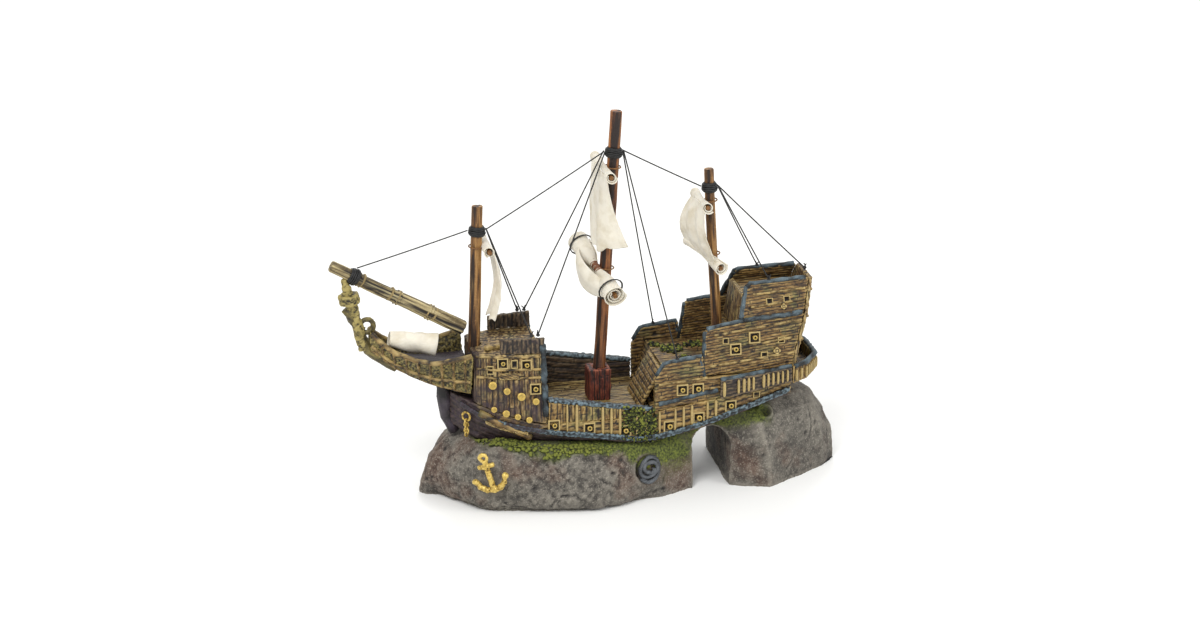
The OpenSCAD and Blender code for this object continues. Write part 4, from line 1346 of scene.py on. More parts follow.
@dataclass
class Rig:
    """The masts' sails, furled or torn, and what ties them."""

    frame: Frame

    def yard(self, node: str, index: int = 0) -> Line:
        """A yard's axis: the longest round solids of its node, highest first, with low at -Y."""
        rods = [self.frame.rod(p) for p in self.frame.parts(node) if np.ptp(p[:, 1]) > 12]
        rods.sort(key=lambda r: -(r.low.z + r.high.z))
        rod = rods[index]
        return rod if rod.low.y < rod.high.y else Line(rod.high, rod.low, rod.radius)

    @staticmethod
    def on(yard: Line, share: Points) -> Points:
        """Points of a yard's axis at shares from its -Y end to its +Y end."""
        return np.array(yard.low) + np.outer(share, np.array(yard.high - yard.low))

    def wrap(self, yard: Line, name: str, node: str, roll: Roll) -> Sail:
        """Cloth rolled round a yard, its edge a spiral at both ends.

        Args:
            yard: the yard inside.
            name: the piece's name.
            node: the yard's CAD node, after which its body is named.
            roll: its sizes.

        Returns:
            The sail, ready to build.
        """
        length = (yard.high - yard.low).length * (roll.stop - roll.start)
        around = math.pi * (roll.inner + roll.outer) * roll.turns
        way = np.array((yard.high - yard.low).normalized())
        ahead = np.cross(way, (0, 0, 1.0))
        ahead /= np.linalg.norm(ahead)
        up = np.cross(ahead, way)

        def place(u: Points, v: Points) -> Points:
            theta = v * roll.turns * 2 * math.pi + 0.9
            radius = roll.inner + (roll.outer - roll.inner) * v
            share = roll.start + (roll.stop - roll.start) * u
            end = 1 + 0.16 * np.exp(-np.minimum(u, 1 - u) / 0.08)
            waist = 1 - roll.pinch * np.exp(-(((share - 0.5) / roll.grip) ** 2))
            radius = radius * end * waist * (1 + 0.06 * np.sin(theta * 2 + 7 * u))
            radius = np.maximum(radius, yard.radius + 0.2)
            slide = 0.8 * (v - 0.5) * np.where(u > 0.5, 1, -1) * smoothstep(0.35, 0.5, np.abs(u - 0.5))
            middle = self.on(yard, share) + np.outer(slide, way)
            return middle + np.outer(radius * np.cos(theta), up) - np.outer(radius * np.sin(theta), ahead)

        return Sail(name, length, around, place, node.rstrip("s") + "_set", (node,), held="folded",
                    crease=0.12, seed=roll.seed, ragged=(), step=0.5)

    def fore(self) -> None:
        """The fore sail, hanging abaft the mast with its foot free."""
        yard = self.yard("fore_yard")
        low, high = corners("fore_sail")

        def place(u: Points, v: Points) -> Points:
            share = 0.06 + 0.88 * u
            head = self.on(yard, share) + np.stack([0 * u + yard.radius + 1.0, 0 * u, 0 * u + 0.4], 1)
            z = head[:, 2] + (low[2] - head[:, 2]) * v
            y = head[:, 1] * (1 - 0.24 * v) + 0.8 * np.sin(5 * v) * (u - 0.5)
            belly = 4.6 * np.sin(math.pi * v) * (0.55 + 0.45 * np.cos((u - 0.5) * 3)) - 0.9 * v
            fold = 1.5 * np.sin(u * 13 + 2.2 * v) * smoothstep(0.1, 0.8, v)
            return np.stack([head[:, 0] + belly + fold + 0.4 * v, y, z], 1)

        wide = 0.88 * (yard.high - yard.low).length
        Sail("fore_sail_cloth", wide, high[2] - low[2] + 1, place, "fore_yard_set", ("fore_yard",),
             ("fore_sail",), seed=2).build()
        head = Roll(1.5, 2.5, 1.3, 3, start=0.04, stop=0.96)
        self.wrap(yard, "fore_sail_head", "fore_yard", head).build()

    def topsail(self) -> None:
        """The main topsail: rolled over its yard, then torn and gathered aft towards its foot."""
        yard = self.yard("main_top_yard")
        low, high = corners("main_topsail")
        drop = high[2] - low[2]
        across = np.array([-10, -8.6, -5, 0, 4, 7, 10])
        aft = np.array([15.4, 7, 2.6, 1.4, 1.4, 2.4, 3.6])

        def place(u: Points, v: Points) -> Points:
            ahead = np.stack([0 * u - yard.radius - 0.9, 0 * u, 0 * u - 0.6], 1)
            head = self.on(yard, 0.03 + 0.94 * u) + ahead
            foot_y = -10 + 20 * u
            foot_x = np.interp(foot_y, across, aft)
            f = v * (0.75 + 0.25 * v)
            x = head[:, 0] * (1 - f) + (foot_x + 0.2) * f - 0.9 * np.sin(math.pi * v)
            y = head[:, 1] * (1 - f) + foot_y * f
            fold = 0.55 * np.sin(u * 17 + 1.5 * v) * smoothstep(0.1, 0.9, v)
            near = 1.5 * np.exp(-(((u - 0.02) / 0.12) ** 2)) * v
            return np.stack([x + fold + near, y, head[:, 2] - drop * v * (1 + 0.02 * np.sin(9 * u))], 1)

        wide = 0.94 * (yard.high - yard.low).length * 0.8
        Sail("main_topsail_cloth", wide, drop, place, "main_top_yard_set", ("main_top_yard",),
             ("main_topsail",), seed=5, crease=0.2).build()
        self.wrap(yard, "main_topsail_head", "main_top_yard", Roll(1.5, 2.7, 1.6, 6, pinch=0.5)).build()

    def course(self) -> None:
        """The main course, furled: two fat spiral ends, and slack cloth that hangs before the mast."""
        yard = self.yard("main_yard")
        fat = Roll(1.7, 5.6, 2.6, 9, pinch=0.72, grip=0.2, start=0.02, stop=0.98)
        spiral = self.wrap(yard, "main_course_roll", "main_yard", fat)
        spiral.replaces = ("main_course",)
        spiral.build()

        def place(u: Points, v: Points) -> Points:
            share = 0.17 + 0.68 * u
            swell = np.sin(math.pi * np.clip(u, 0, 1)) ** 0.7
            theta = 0.6 + 3.7 * v
            radius = 3.0 + 3.4 * swell
            middle = self.on(yard, share) + np.outer(swell, (-3.4, 0, -3.0))
            flute = 0.35 * np.sin(theta * 5 + 4 * u)
            out = (radius + flute)[:, None] * np.stack([-np.sin(theta), 0 * u, np.cos(theta)], 1)
            return middle + out * np.array((0.8, 1, 1.25))

        wide = 0.68 * (yard.high - yard.low).length
        Sail("main_course_slack", wide, 23.0, place, "main_yard_set", ("main_yard",), held="gathered",
             seed=11, crease=0.18, ragged=()).build()
        self.coil("main_yard_twine", yard, 0.37, 0.63, 1.55, 0.42, 15, OLD_TWINE, "rope_resin",
                  "main_yard_set")
        for share, radius, name in ((0.12, 6.3, "near"), (0.9, 6.0, "far")):
            self.loop(f"main_course_gasket_{name}", yard, share, radius, "main_yard_set")

    def mizzen(self) -> None:
        """The mizzen sail, blown forward between its two yards, with its near edge frayed."""
        upper, lower = self.yard("mizzen_yards", 0), self.yard("mizzen_yards", 1)

        def place(u: Points, v: Points) -> Points:
            head = self.on(upper, 0.03 + 0.94 * u) + np.stack([0 * u - 1.6, 0 * u, 0 * u], 1)
            foot = self.on(lower, 0.03 + 0.94 * u) + np.stack([0 * u - 1.8, 0 * u, 0 * u], 1)
            mid = head * (1 - v)[:, None] + foot * v[:, None]
            mid[:, 0] -= 3.4 * np.sin(math.pi * v) * (0.8 + 0.5 * u)
            mid[:, 0] += 0.7 * np.sin(u * 15 + 2 * v) * np.sin(math.pi * v)
            return mid

        wide = 0.94 * (upper.high - upper.low).length
        drop = ((upper.low + upper.high) / 2 - (lower.low + lower.high) / 2).length + 1.5
        Sail("mizzen_sail_cloth", wide, drop, place, "mizzen_yard_set", ("mizzen_yards",), ("mizzen_sail",),
             seed=14, ragged=("side",)).build()
        self.wrap(upper, "mizzen_sail_head", "mizzen_yards", Roll(1.5, 2.7, 1.5, 15, pinch=0.55)).build()
        self.wrap(lower, "mizzen_sail_foot", "mizzen_yards", Roll(1.5, 3.6, 1.7, 16, pinch=0.52)).build()

    def sprit(self) -> None:
        """The spare sail, rolled up in the beakhead."""
        axis = self.frame.line("sprit_sail")
        low, high = (axis.low, axis.high) if axis.low.x < axis.high.x else (axis.high, axis.low)
        length = (high - low).length
        way = np.array((high - low).normalized())
        side = np.array((0.0, 1.0, 0.0))
        up = np.cross(way, side)
        up = up if up[2] > 0 else -up
        turns = 2.6

        def place(u: Points, v: Points) -> Points:
            theta = v * turns * 2 * math.pi + 2.2
            full = (4.6 + 1.9 * u) * (1 + 0.07 * np.sin(3 * theta + 9 * u))
            radius = 1.0 + (full - 1.0) * v
            slide = -1.6 * (0.5 - v) * np.where(u > 0.5, 1, -1) * smoothstep(0.3, 0.5, np.abs(u - 0.5))
            middle = np.array(low) + (0, 0, 2.6) + np.outer(u * length + slide, way)
            return middle + np.outer(radius * np.cos(theta), up) + np.outer(radius * np.sin(theta), side)

        around = math.pi * (1.0 + 5.0) * turns
        Sail("sprit_sail_roll", length, around, place, SHIP, ("beak_keel",), ("sprit_sail",), held="folded",
             seed=18, crease=0.3, ragged=()).build()

    def coil(self, name: str, axis: Line, start: float, stop: float, radius: float, wire: float, turns: int,
             finish: Finish, slot: str, body: str) -> Piece:
        """Twine wound round a rod."""
        way = np.array((axis.high - axis.low).normalized())
        first = np.cross(way, (0.3, 0.1, 1.0))
        first /= np.linalg.norm(first)
        second = np.cross(way, first)
        count = turns * 16 + 1
        share = np.linspace(0, 1, count)
        theta = share * turns * 2 * math.pi
        wave = radius + 0.12 * np.sin(theta * 0.37) + 0.1 * np.sin(theta * 1.7)
        slant = 0.35 * np.sin(theta + 0.5 * np.sin(theta * 0.21))
        run = start + (stop - start) * share
        points = self.on(axis, run) + np.outer(slant * wire * 2, way)
        points += np.outer(wave * np.cos(theta), first) + np.outer(wave * np.sin(theta), second)
        obj = swept(name, points, wire)
        tidy(obj, outward=True)
        smooth(obj)
        return dress(obj, finish, body)

    def loop(self, name: str, axis: Line, share: float, radius: float, body: str) -> Piece:
        """One loop of black thread with its two short ends, round a furled sail."""
        return self.coil(name, axis, share, share + 0.02, radius, 0.33, 2, THREAD, "black_thread", body)

    def build(self) -> None:
        """Hangs every sail."""
        self.fore()
        self.topsail()
        self.course()
        self.mizzen()
        self.sprit()


# ---------------------------------------------------------------- rigging


@dataclass(frozen=True)
class Thread:
    """One taut thread, its ends in metres."""

    name: str
    start: tuple[float, float, float]
    end: tuple[float, float, float]
    far_end: str = "knot"


@dataclass
class Rigging:
    """Black thread from mast to mast and down to the sides, with its lashings and knots."""

    frame: Frame
    diameter: float = 0.0007
    points: int = 15

    def routes(self) -> list[Thread]:
        """Every thread's route: the points are those of the CAD route."""
        out = [
            Thread("stay_bowsprit", (-0.1161, 0, 0.1219), (-0.0612, 0, 0.1375), "object"),
            Thread("stay_fore_to_main", (-0.0519, 0, 0.1375), (0.0072, 0, 0.1735), "object"),
            Thread("stay_main_to_mizzen", (0.0167, 0, 0.1735), (0.0563, 0, 0.1525), "object"),
            Thread("stay_stern", (0.0648, 0, 0.1525), (0.1108, 0, 0.1059)),
        ]
        for side, s in (("port", -1), ("starboard", 1)):
            out += [
                Thread(f"shroud_fore_{side}", (-0.0519, 0.0014 * s, 0.1375),
                       (-0.0335, 0.01945 * s, 0.0873)),
                Thread(f"shroud_main_ahead_{side}", (0.0072, 0.0014 * s, 0.1735),
                       (-0.0301, 0.01885 * s, 0.0873)),
                Thread(f"shroud_main_abaft_{side}", (0.0167, 0.0014 * s, 0.1735),
                       (0.0386, 0.0268 * s, 0.07214)),
                Thread(f"shroud_mizzen_{side}", (0.0648, 0.0014 * s, 0.1525), (0.089, 0.01145 * s, 0.105)),
            ]
        return out

    def thread(self, route: Thread) -> Piece:
        """One thread: a curve that sags by a hair, its route in metres."""
        start, end = Vector(route.start), Vector(route.end)
        length = (end - start).length
        run = []
        for i in range(self.points):
            share = i / (self.points - 1)
            sag = 0.004 * length * math.sin(math.pi * share)
            run.append(start.lerp(end, share) - Vector((0, 0, sag)))
        obj = strand(route.name, run, self.diameter / 2, unit=1)
        dress(obj, THREAD)
        return obj

    def cords(self) -> None:
        """Every thread, in place of its CAD solid."""
        for route in self.routes():
            obj = self.thread(route)
            kind = route.name.split("_")
            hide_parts("stays" if kind[0] == "stay" else f"{kind[1]}_shrouds")

    def knot(self) -> Piece:
        """A hard little knot with two short cut ends, one unit in radius."""
        bpy.ops.mesh.primitive_torus_add(major_segments=20, minor_segments=8, major_radius=0.62 * MM,
                                         minor_radius=0.42 * MM)
        first = settle(bpy.context.object)
        bpy.ops.mesh.primitive_torus_add(
            major_segments=20, minor_segments=8, major_radius=0.55 * MM, minor_radius=0.4 * MM,
            rotation=(math.radians(72), 0.4, 0),
        )
        second = settle(bpy.context.object)
        tails = []
        for turn in (0.5, -0.7):
            bpy.ops.mesh.primitive_cylinder_add(vertices=8, radius=0.3 * MM, depth=2.6 * MM,
                                                rotation=(turn, 0.5 * turn, 0),
                                                location=(0.2 * MM, -0.5 * turn * MM, 1.2 * MM))
            tails.append(settle(bpy.context.object))
        obj = join([first, second, *tails], "knot")
        smooth(obj, 50)
        return obj

    def knots(self) -> None:
        """A knot at each thread's foot."""
        places = []
        for i, route in enumerate(r for r in self.routes() if r.far_end == "knot"):
            places.append(Matrix.Translation(Vector(route.end) / MM) @ Matrix.Rotation(1.3 * i, 4, "Z"))
        dress(copies(self.knot(), places, "shroud_knots"), THREAD)

    def lashings(self, rig: Rig) -> None:
        """The messy black windings that hold the threads to the masts and the bowsprit."""
        made = []
        rods = {n: self.frame.line(n) for n in ("mainmast", "foremast", "mizzenmast", "bowsprit")}
        for i, points in enumerate(self.groups()):
            middle = Vector((points.min(0) + points.max(0)) / 2)
            axis = min(rods.values(), key=lambda r: self.distance(r, middle))
            long = (axis.high - axis.low).length
            share = (middle - axis.low).dot((axis.high - axis.low).normalized()) / long
            for layer, (radius, turns) in enumerate(((0.5, 6), (1.05, 5), (1.3, 3))):
                half = (2.6 - 0.6 * layer) / long
                made.append(rig.coil(f"lashing_{i}_{layer}", axis, share - half, share + half,
                                     axis.radius * 0.97 + radius, 0.42,
                                     turns, THREAD, "black_thread", SHIP))
        obj = join(made, "mast_lashings")
        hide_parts("lashings")

    def groups(self) -> list[Points]:
        """The lashings' turns, gathered by the spar they lie on."""
        out: list[Points] = []
        for points in self.frame.parts("lashings"):
            middle = points.mean(0)
            near = next((i for i, g in enumerate(out) if np.linalg.norm(g.mean(0) - middle) < 9), None)
            if near is None:
                out.append(points)
            else:
                out[near] = np.vstack([out[near], points])
        return out

    @staticmethod
    def distance(axis: Line, point: Vector) -> float:
        """How far a point lies from a rod's axis."""
        way = (axis.high - axis.low).normalized()
        off = point - axis.low
        return (off - way * off.dot(way)).length


# ---------------------------------------------------------------- rock and moss


@dataclass
class Rock:
    """The cast rock base with its swim-through arch, stains, pits and moss."""

    frame: Frame
    voxel: float = 0.85
    rounding: int = 150

    def keep(self, co: Points) -> Points:
        """0 where the surface must stay as it is, at the inlet's seat, and little in the air chamber."""
        low, high = corners("air_inlet")
        mid_x, mid_z = (low[0] + high[0]) / 2, (low[2] + high[2]) / 2
        x, y, z = co.T
        seat = (np.hypot(x - mid_x, z - mid_z) < 9) & (y > low[1] - 1)
        stone, _ = corners("stone_clip")
        chamber = (x > stone[0] - 14) & (x < stone[0] + 22) & (np.abs(y - 6) < 23) & (z < 23.5)
        return np.where(seat, 0.0, 1.0) * np.where(chamber, 0.25, 1.0)

    def seats(self, co: Points) -> Points:
        """0 under whatever lies on the rock, so that it stays in touch, rising to 1 well away."""
        free = smoothstep(1.5, 7, self.hull_gap(co))
        for node in ("anchor", "rope_coil", "air_inlet"):
            low, high = corners(node)
            away = np.linalg.norm(np.maximum(np.maximum(low - co, co - high), 0), axis=1)
            free = np.minimum(free, smoothstep(1, 8, away))
        return free

    def stone(self) -> Piece:
        """The rock's own surface."""
        obj = self.frame.copy("rock_base", "rock")
        modify(obj, "REMESH", mode="VOXEL", voxel_size=self.voxel * MM)
        write(obj, relaxed(obj, self.rounding, 0.9 * self.keep(read(obj)) * self.seats(read(obj))))
        co, normal = read(obj), read(obj, "normal")
        keep = self.keep(co) * np.where((co[:, 2] < 0.8) & (normal[:, 2] < -0.7), 0, 1)
        broad = lumps(co * (1, 1, 0.8), 30, 2, 3)
        mid = lumps(co, 9, 3, 5)
        fine = lumps(co, 2.4, 3, 8)
        crack = np.clip(1 - np.abs(lumps(co * (1, 1, 0.6), 22, 2, 19)) / 0.07, 0, 1)
        crack *= smoothstep(-0.1, 0.5, mid)
        pit = np.clip(lumps(co, 4.2, 2, 23) - 0.75, 0, 1)
        lift = 0.8 + 2.6 * broad + 0.9 * mid + 0.35 * fine - 0.6 * crack - 1.5 * pit
        lift *= 0.45 + 0.55 * self.seats(co)
        lift -= self.crater(co) * 2.0
        outer = co + normal * (lift * keep)[:, None]
        outer[:, 2] = np.where(co[:, 2] < 1.2, np.clip(outer[:, 2] - 1, 0, None),
                               np.maximum(outer[:, 2], 0))
        write(obj, outer)
        sunk = hollowness(obj, 3)
        note(
            obj,
            cavity=np.clip(1.9 * sunk + 0.3 * crack + 0.8 * pit + 0.1 - 0.16 * mid, 0, 1),
            wear=np.clip(-2.2 * sunk + 0.1 + 0.2 * mid, 0, 1),
            board=smoothstep(-0.2, 0.8, lumps(co, 17, 3, 41)),
            moss=self.mossy(co, normal),
        )
        smooth(obj)
        dress(obj, ROCK)
        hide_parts("rock_base")
        return obj

    def crater(self, co: Points) -> Points:
        """A small round socket on the aft boulder: below 0 on its lip and above 0 inside."""
        spot = Vector((86, -60, 37))
        tree = self.frame.tree("rock_base")
        hit = tree.ray_cast(spot, Vector((0, 1, 0)))[0]
        off = np.linalg.norm(co - np.array(hit), axis=1)
        return 1.2 * np.exp(-((off / 2.3) ** 2)) - 0.9 * np.exp(-(((off - 3.6) / 0.6) ** 2))

    def hull_gap(self, co: Points) -> Points:
        """How far points lie outside the hull's plan, in millimetres."""
        low, high = corners("hull")
        half = (high[1] - low[1]) / 2
        taper = np.sqrt(np.clip((co[:, 0] - low[0]) / 45, 0, 1))
        return np.abs(co[:, 1]) - half * np.minimum(taper, 1)

    def mossy(self, co: Points, normal: Points) -> Points:
        """Where moss grows: on what faces up near the hull, in patches."""
        up = smoothstep(-0.15, 0.5, normal[:, 2])
        patch = lumps(co, 9, 3, 61)
        near = 1 - smoothstep(0.5, 1.0, (self.hull_gap(co) + 3.2 * patch) / 8)
        near *= smoothstep(-17, -11, co[:, 2] - np.interp(co[:, 0], *self.frame.wale()) + 4 * patch)
        ends = smoothstep(-76, -66, co[:, 0]) * (1 - smoothstep(82, 92, co[:, 0]))
        arch = np.exp(-(((co[:, 0] - 38) / 9) ** 2)) * (co[:, 1] < 0)
        arch *= smoothstep(6, 24, co[:, 2] + 6 * patch)
        grown = np.clip(near * up * ends * 1.3 + 0.75 * arch, 0, 1)
        return grown * (0.7 + 0.3 * smoothstep(-0.6, 0.2, patch))

    @staticmethod
    def tuft(swell: float, size: float, seed: int, squat: float, shade: float,
             tone: int) -> Piece:
        """A cushion of moss a millimetre in radius, with painted shade at its foot and painted highlight on
        its top.

        Args:
            swell: how far its lumps stand out.
            size: how far apart they lie.
            seed: picks another pattern.
            squat: its height as a share of its width.
            shade: how dark the painted shade at its foot is.
            tone: the axis along which its colour changes.

        Returns:
            The cushion, to be copied.
        """
        bpy.ops.mesh.primitive_ico_sphere_add(subdivisions=2, radius=MM)
        tuft = settle(bpy.context.object)
        co = read(tuft)
        write(tuft, co * (1 + swell * value_noise(co, size, seed))[:, None] * (1, 1, squat))
        co = read(tuft)
        note(
            tuft,
            # Painted shade low on the cushion, painted highlight high on it.
            cavity=np.clip(shade - co[:, 2] * 0.9, 0, 1),
            wear=np.clip(co[:, 2] * 0.9 - (shade - 0.3), 0, 1),
            board=smoothstep(-1, 1, co[:, tone]),
        )
        smooth(tuft)
        return tuft

    def tufts(self) -> None:
        """Moss as small lumpy cushions, scattered where it grows."""
        tuft = self.tuft(0.42, 0.55, 5, 0.7, 0.35, 0)
        places = []
        tree = self.frame.tree("rock_base")
        cells = np.array([(i, j, 0) for i in range(-75, 100) for j in range(-46, 46)])
        grown = hashed(cells, 9)
        for (i, j, _), chance in zip(cells, grown):
            x, y = i + hashed(np.array([[i, j, 1]]), 2)[0], j + hashed(np.array([[i, j, 2]]), 2)[0]
            hit, normal, _, _ = tree.ray_cast(Vector((x, y, 90)), Vector((0, 0, -1)))
            if hit is None or hit.z < 8:
                continue
            spot = np.array([hit])
            thick = 0.6 * float(self.mossy(spot, np.array([normal]))[0])
            if thick < chance or self.hull_gap(spot)[0] < -1.5:
                continue
            size = 0.45 + 0.75 * float(hashed(np.array([[i, j, 3]]), 2)[0])
            turn = Matrix.Rotation(6.28 * chance, 4, "Z") @ Matrix.Diagonal((size, size, size * 0.9, 1))
            upright = normal.to_track_quat("Z", "Y").to_matrix().to_4x4()
            places.append(Matrix.Translation(hit + normal * 0.25) @ upright @ turn)
        LOG.info("%d moss tufts on the rock", len(places))
        dress(copies(tuft, places, "rock_moss"), MOSS)

    def clumps(self) -> None:
        """Moss on the half deck and against the waist's side."""
        tuft = self.tuft(0.45, 0.5, 15, 1.0, 0.3, 1)
        places = []
        spots = []
        for k, points in enumerate(self.frame.parts("moss_clumps")):
            middle, reach = points.mean(0), np.ptp(points, 0)[0] / 2
            for n in range(round(2.6 * reach**2)):
                a, b, c = hashed(np.array([[k, n, i] for i in (4, 5, 6)]), 8)
                r = reach * 1.15 * math.sqrt(b)
                x, y = middle[0] + r * math.cos(6.28 * a), middle[1] + r * math.sin(6.28 * a)
                at = (x, y, points[:, 2].min())
                spots.append((np.array(at) + (0, 0, 0.5 * c), 0.35 + 0.75 * c))
        walls = ("hull", "port_waist_bulwark", "wales", "waist_rails", "rock_base")
        for n in range(460):
            a, b, c, d = hashed(np.array([[n, i, 1] for i in (1, 2, 3, 4)]), 31)
            x, z = 19 + 10 * (a + b - 1), 40 + 13 * (c + d - 1) - 4 * (a + b - 1)
            found = self.frame.side(walls, x, z, -1)
            if found:
                spots.append((np.array(found[0]) + (0, -0.3 - 0.5 * b, 0), 0.4 + 0.55 * d))
        for k, (at, size) in enumerate(spots):
            turn = Matrix.Rotation(2.4 * k, 4, "Z") @ Matrix.Rotation(1.1 * k, 4, "X")
            places.append(Matrix.Translation(Vector(at)) @ turn @ Matrix.Scale(size, 4))
        obj = dress(copies(tuft, places, "deck_moss"), MOSS)
        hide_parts("moss_clumps")

    def build(self) -> None:
        """The rock and all that grows on it."""
        self.stone()
        self.tufts()
        self.clumps()


# ---------------------------------------------------------------- small castings


@dataclass
class Castings:
    """Figurehead, anchor, chain, rope coil, plates and the air line."""

    frame: Frame

    def lump(self, node: str, finish: Finish, voxel: float, rough: float, size: float,
             seed: int = 1, grow: float = 0.0) -> Piece:
        """A small casting with a hand-made surface, from its CAD form grown a little."""
        obj = self.frame.copy(node, node + "_cast")
        modify(obj, "REMESH", mode="VOXEL", voxel_size=voxel * MM)
        modify(obj, "SMOOTH", factor=0.6, iterations=3)
        co, normal = read(obj), read(obj, "normal")
        wander = lumps(co, size, 3, seed)
        write(obj, co + normal * (grow + rough * wander)[:, None])
        sunk = hollowness(obj)
        note(
            obj,
            cavity=np.clip(0.15 - 0.5 * wander + 8 * sunk, 0, 1),
            wear=np.clip(0.2 + 0.5 * wander - 8 * sunk, 0, 1),
            board=hashed(np.floor(co / 3), seed),
        )
        smooth(obj)
        dress(obj, finish)
        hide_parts(node)
        return obj

    def rope(self) -> None:
        """The coil of rope on the rock: laid strands, wound twice."""
        low, high = map(Vector, corners("rope_coil"))
        parts = self.frame.parts("rope_coil")[0]
        middle = Vector(parts.mean(0))
        axis = Vector(np.linalg.svd(parts - parts.mean(0), full_matrices=False)[2][2])
        axis = axis if axis.y < 0 else -axis
        first = axis.orthogonal().normalized()
        second = axis.cross(first)
        reach = (high - low).x / 2
        made = []
        lay = 0.62
        for third in range(3):
            run = []
            for share in np.linspace(0, 1, 260):
                theta = 2 * math.pi * 2.35 * share
                twist = 2 * math.pi * (24 * share + third / 3)
                out = reach - 1.3 - 4.6 * share + 0.5 * math.sin(2.3 * theta) + lay * math.cos(twist)
                rise = lay * math.sin(twist) + 1.5 * share + 0.5 + 0.4 * math.sin(1.7 * theta)
                across = first * math.cos(theta) + second * math.sin(theta)
                run.append(middle + across * out + axis * rise)
            made.append(swept("strand", run, lay))
        obj = join(made, "rope_coil_strands")
        tidy(obj, outward=True)
        co, normal = read(obj), read(obj, "normal")
        wander = lumps(co, 1.6, 2, 3)
        write(obj, co + normal * (0.1 * wander)[:, None])
        # Painted light: faces turned along the coil's axis get painted highlight, faces turned away get
        # painted shade.
        out = read(obj, "normal") @ np.array(axis)
        note(
            obj,
            cavity=np.clip(0.55 - 0.6 * out, 0, 1),
            wear=np.clip(0.55 * out + 0.3 * wander, 0, 1),
            board=hashed(np.floor(co / 2), 4),
        )
        smooth(obj)
        dress(obj, ROPE)
        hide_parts("rope_coil")

    def deck_block(self) -> None:
        """The pale block on the forecastle deck and the copper one on the poop."""
        blocks = (
            ("forecastle", Vector((-6.5, -9, 0)), Vector((9, 3.4, 2.4)), CREAM),
            ("poop_deck", Vector((-1, -4, 0)), Vector((6.5, 4, 1.8)), COPPER),
        )
        for node, shift, size, finish in blocks:
            low, high = map(Vector, corners(node))
            block = bar(size, 0.7)
            modify(block, "REMESH", mode="VOXEL", voxel_size=0.3 * MM)
            co, normal = read(block), read(block, "normal")
            wander = lumps(co, 2, 3, 5)
            write(block, co + normal * (0.25 * wander)[:, None])
            note(block, cavity=np.clip(0.1 - 0.5 * wander, 0, 1), wear=np.clip(0.3 + 0.4 * wander, 0, 1))
            smooth(block)
            at = Vector(((low.x + high.x) / 2, 0, high.z + size.z / 2 - 0.2)) + shift
            done = copies(block, [Matrix.Translation(at) @ Matrix.Rotation(0.3, 4, "Z")], node + "_block")
            dress(done, finish)

    def air_line(self) -> None:
        """Finishes on the CAD parts of the air line, whose true shapes stay."""
        clear = {"air_inlet": CLEAR, "air_tube": CLEAR, "stone_stem": CLEAR}
        for node, finish in {**clear, "air_stone": STONE, "stone_clip": CLIP}.items():
            materials = self.frame.nodes[node].data.materials
            materials.clear()
            materials.append(finish.material())

    @staticmethod
    def keel_line(*points: tuple[float, float]) -> list[Vector]:
        """Points over the keel, from their x and height."""
        return [Vector((x, 0, z)) for x, z in points]

    def prow(self, trim: Trim, rig: Rig) -> None:
        """What joins the figurehead to the beak, the cutwater, and the bowsprit's rope bands."""
        names = ("beak_keel", "figurehead", "hull")
        beak, figure, hull = (Vector(corners(node)[0]) for node in names)
        tip = beak.x
        body = self.keel_line((figure.x + 3.5, 101), (tip - 6.4, 93), (tip - 3.6, 85), (tip - 0.5, 79),
                              (tip + 6, 73.5), (tip + 13, 69))
        coil = [(a, 3.4 - 0.25 * a) for a in np.linspace(-1.9, 4.4, 16)]
        scroll = self.keel_line(*((tip - 1.4 + r * math.cos(a), 92 + r * math.sin(a)) for a, r in coil))
        trim.bead("prow_knee", [body], 2.7, OLIVE, 0.5)
        trim.bead("prow_scroll", [scroll], 1.35, OLIVE, 0.4)
        foot = hull.z + 8
        bow = hull.x
        stem = self.keel_line((bow - 3.4, 60.5), (bow - 2.6, 52), (bow - 1, foot + 6),
                              (bow + 2.5, foot - 2))
        trim.bead("cutwater", [stem], 3.3, CHARRED, 0.6)
        sprit = self.frame.line("bowsprit")
        for i, share in enumerate((0.22, 0.27, 0.5, 0.55, 0.76)):
            rig.coil(f"bowsprit_band_{i}", sprit, share, share + 0.012, sprit.radius * 1.08, 0.62, 1, SPRIT,
                     "wood_resin", SHIP)
        for way, side in ((-1, "port"), (1, "starboard")):
            hole = trim.runs(("hull",), [(-59.5, -35, 9, 48.2, -0.49, -59.5)], way, 0.6)
            trim.bead(f"{side}_loose_timber", hole, 1.75, OCHRE, 0.35)

    def build(self) -> None:
        """Every small casting."""
        self.lump("figurehead", OLIVE, 0.4, 0.5, 2.6, 5, 0.5)
        self.lump("anchor", GOLD, 0.3, 0.28, 1.6, 6, 0.45)
        self.lump("anchor_chain", GOLD, 0.2, 0.12, 1.0, 7)
        self.lump("stem_post", CHARRED, 0.4, 0.3, 2.2, 8)
        self.rope()
        self.deck_block()
        self.air_line()


# ---------------------------------------------------------------- studio


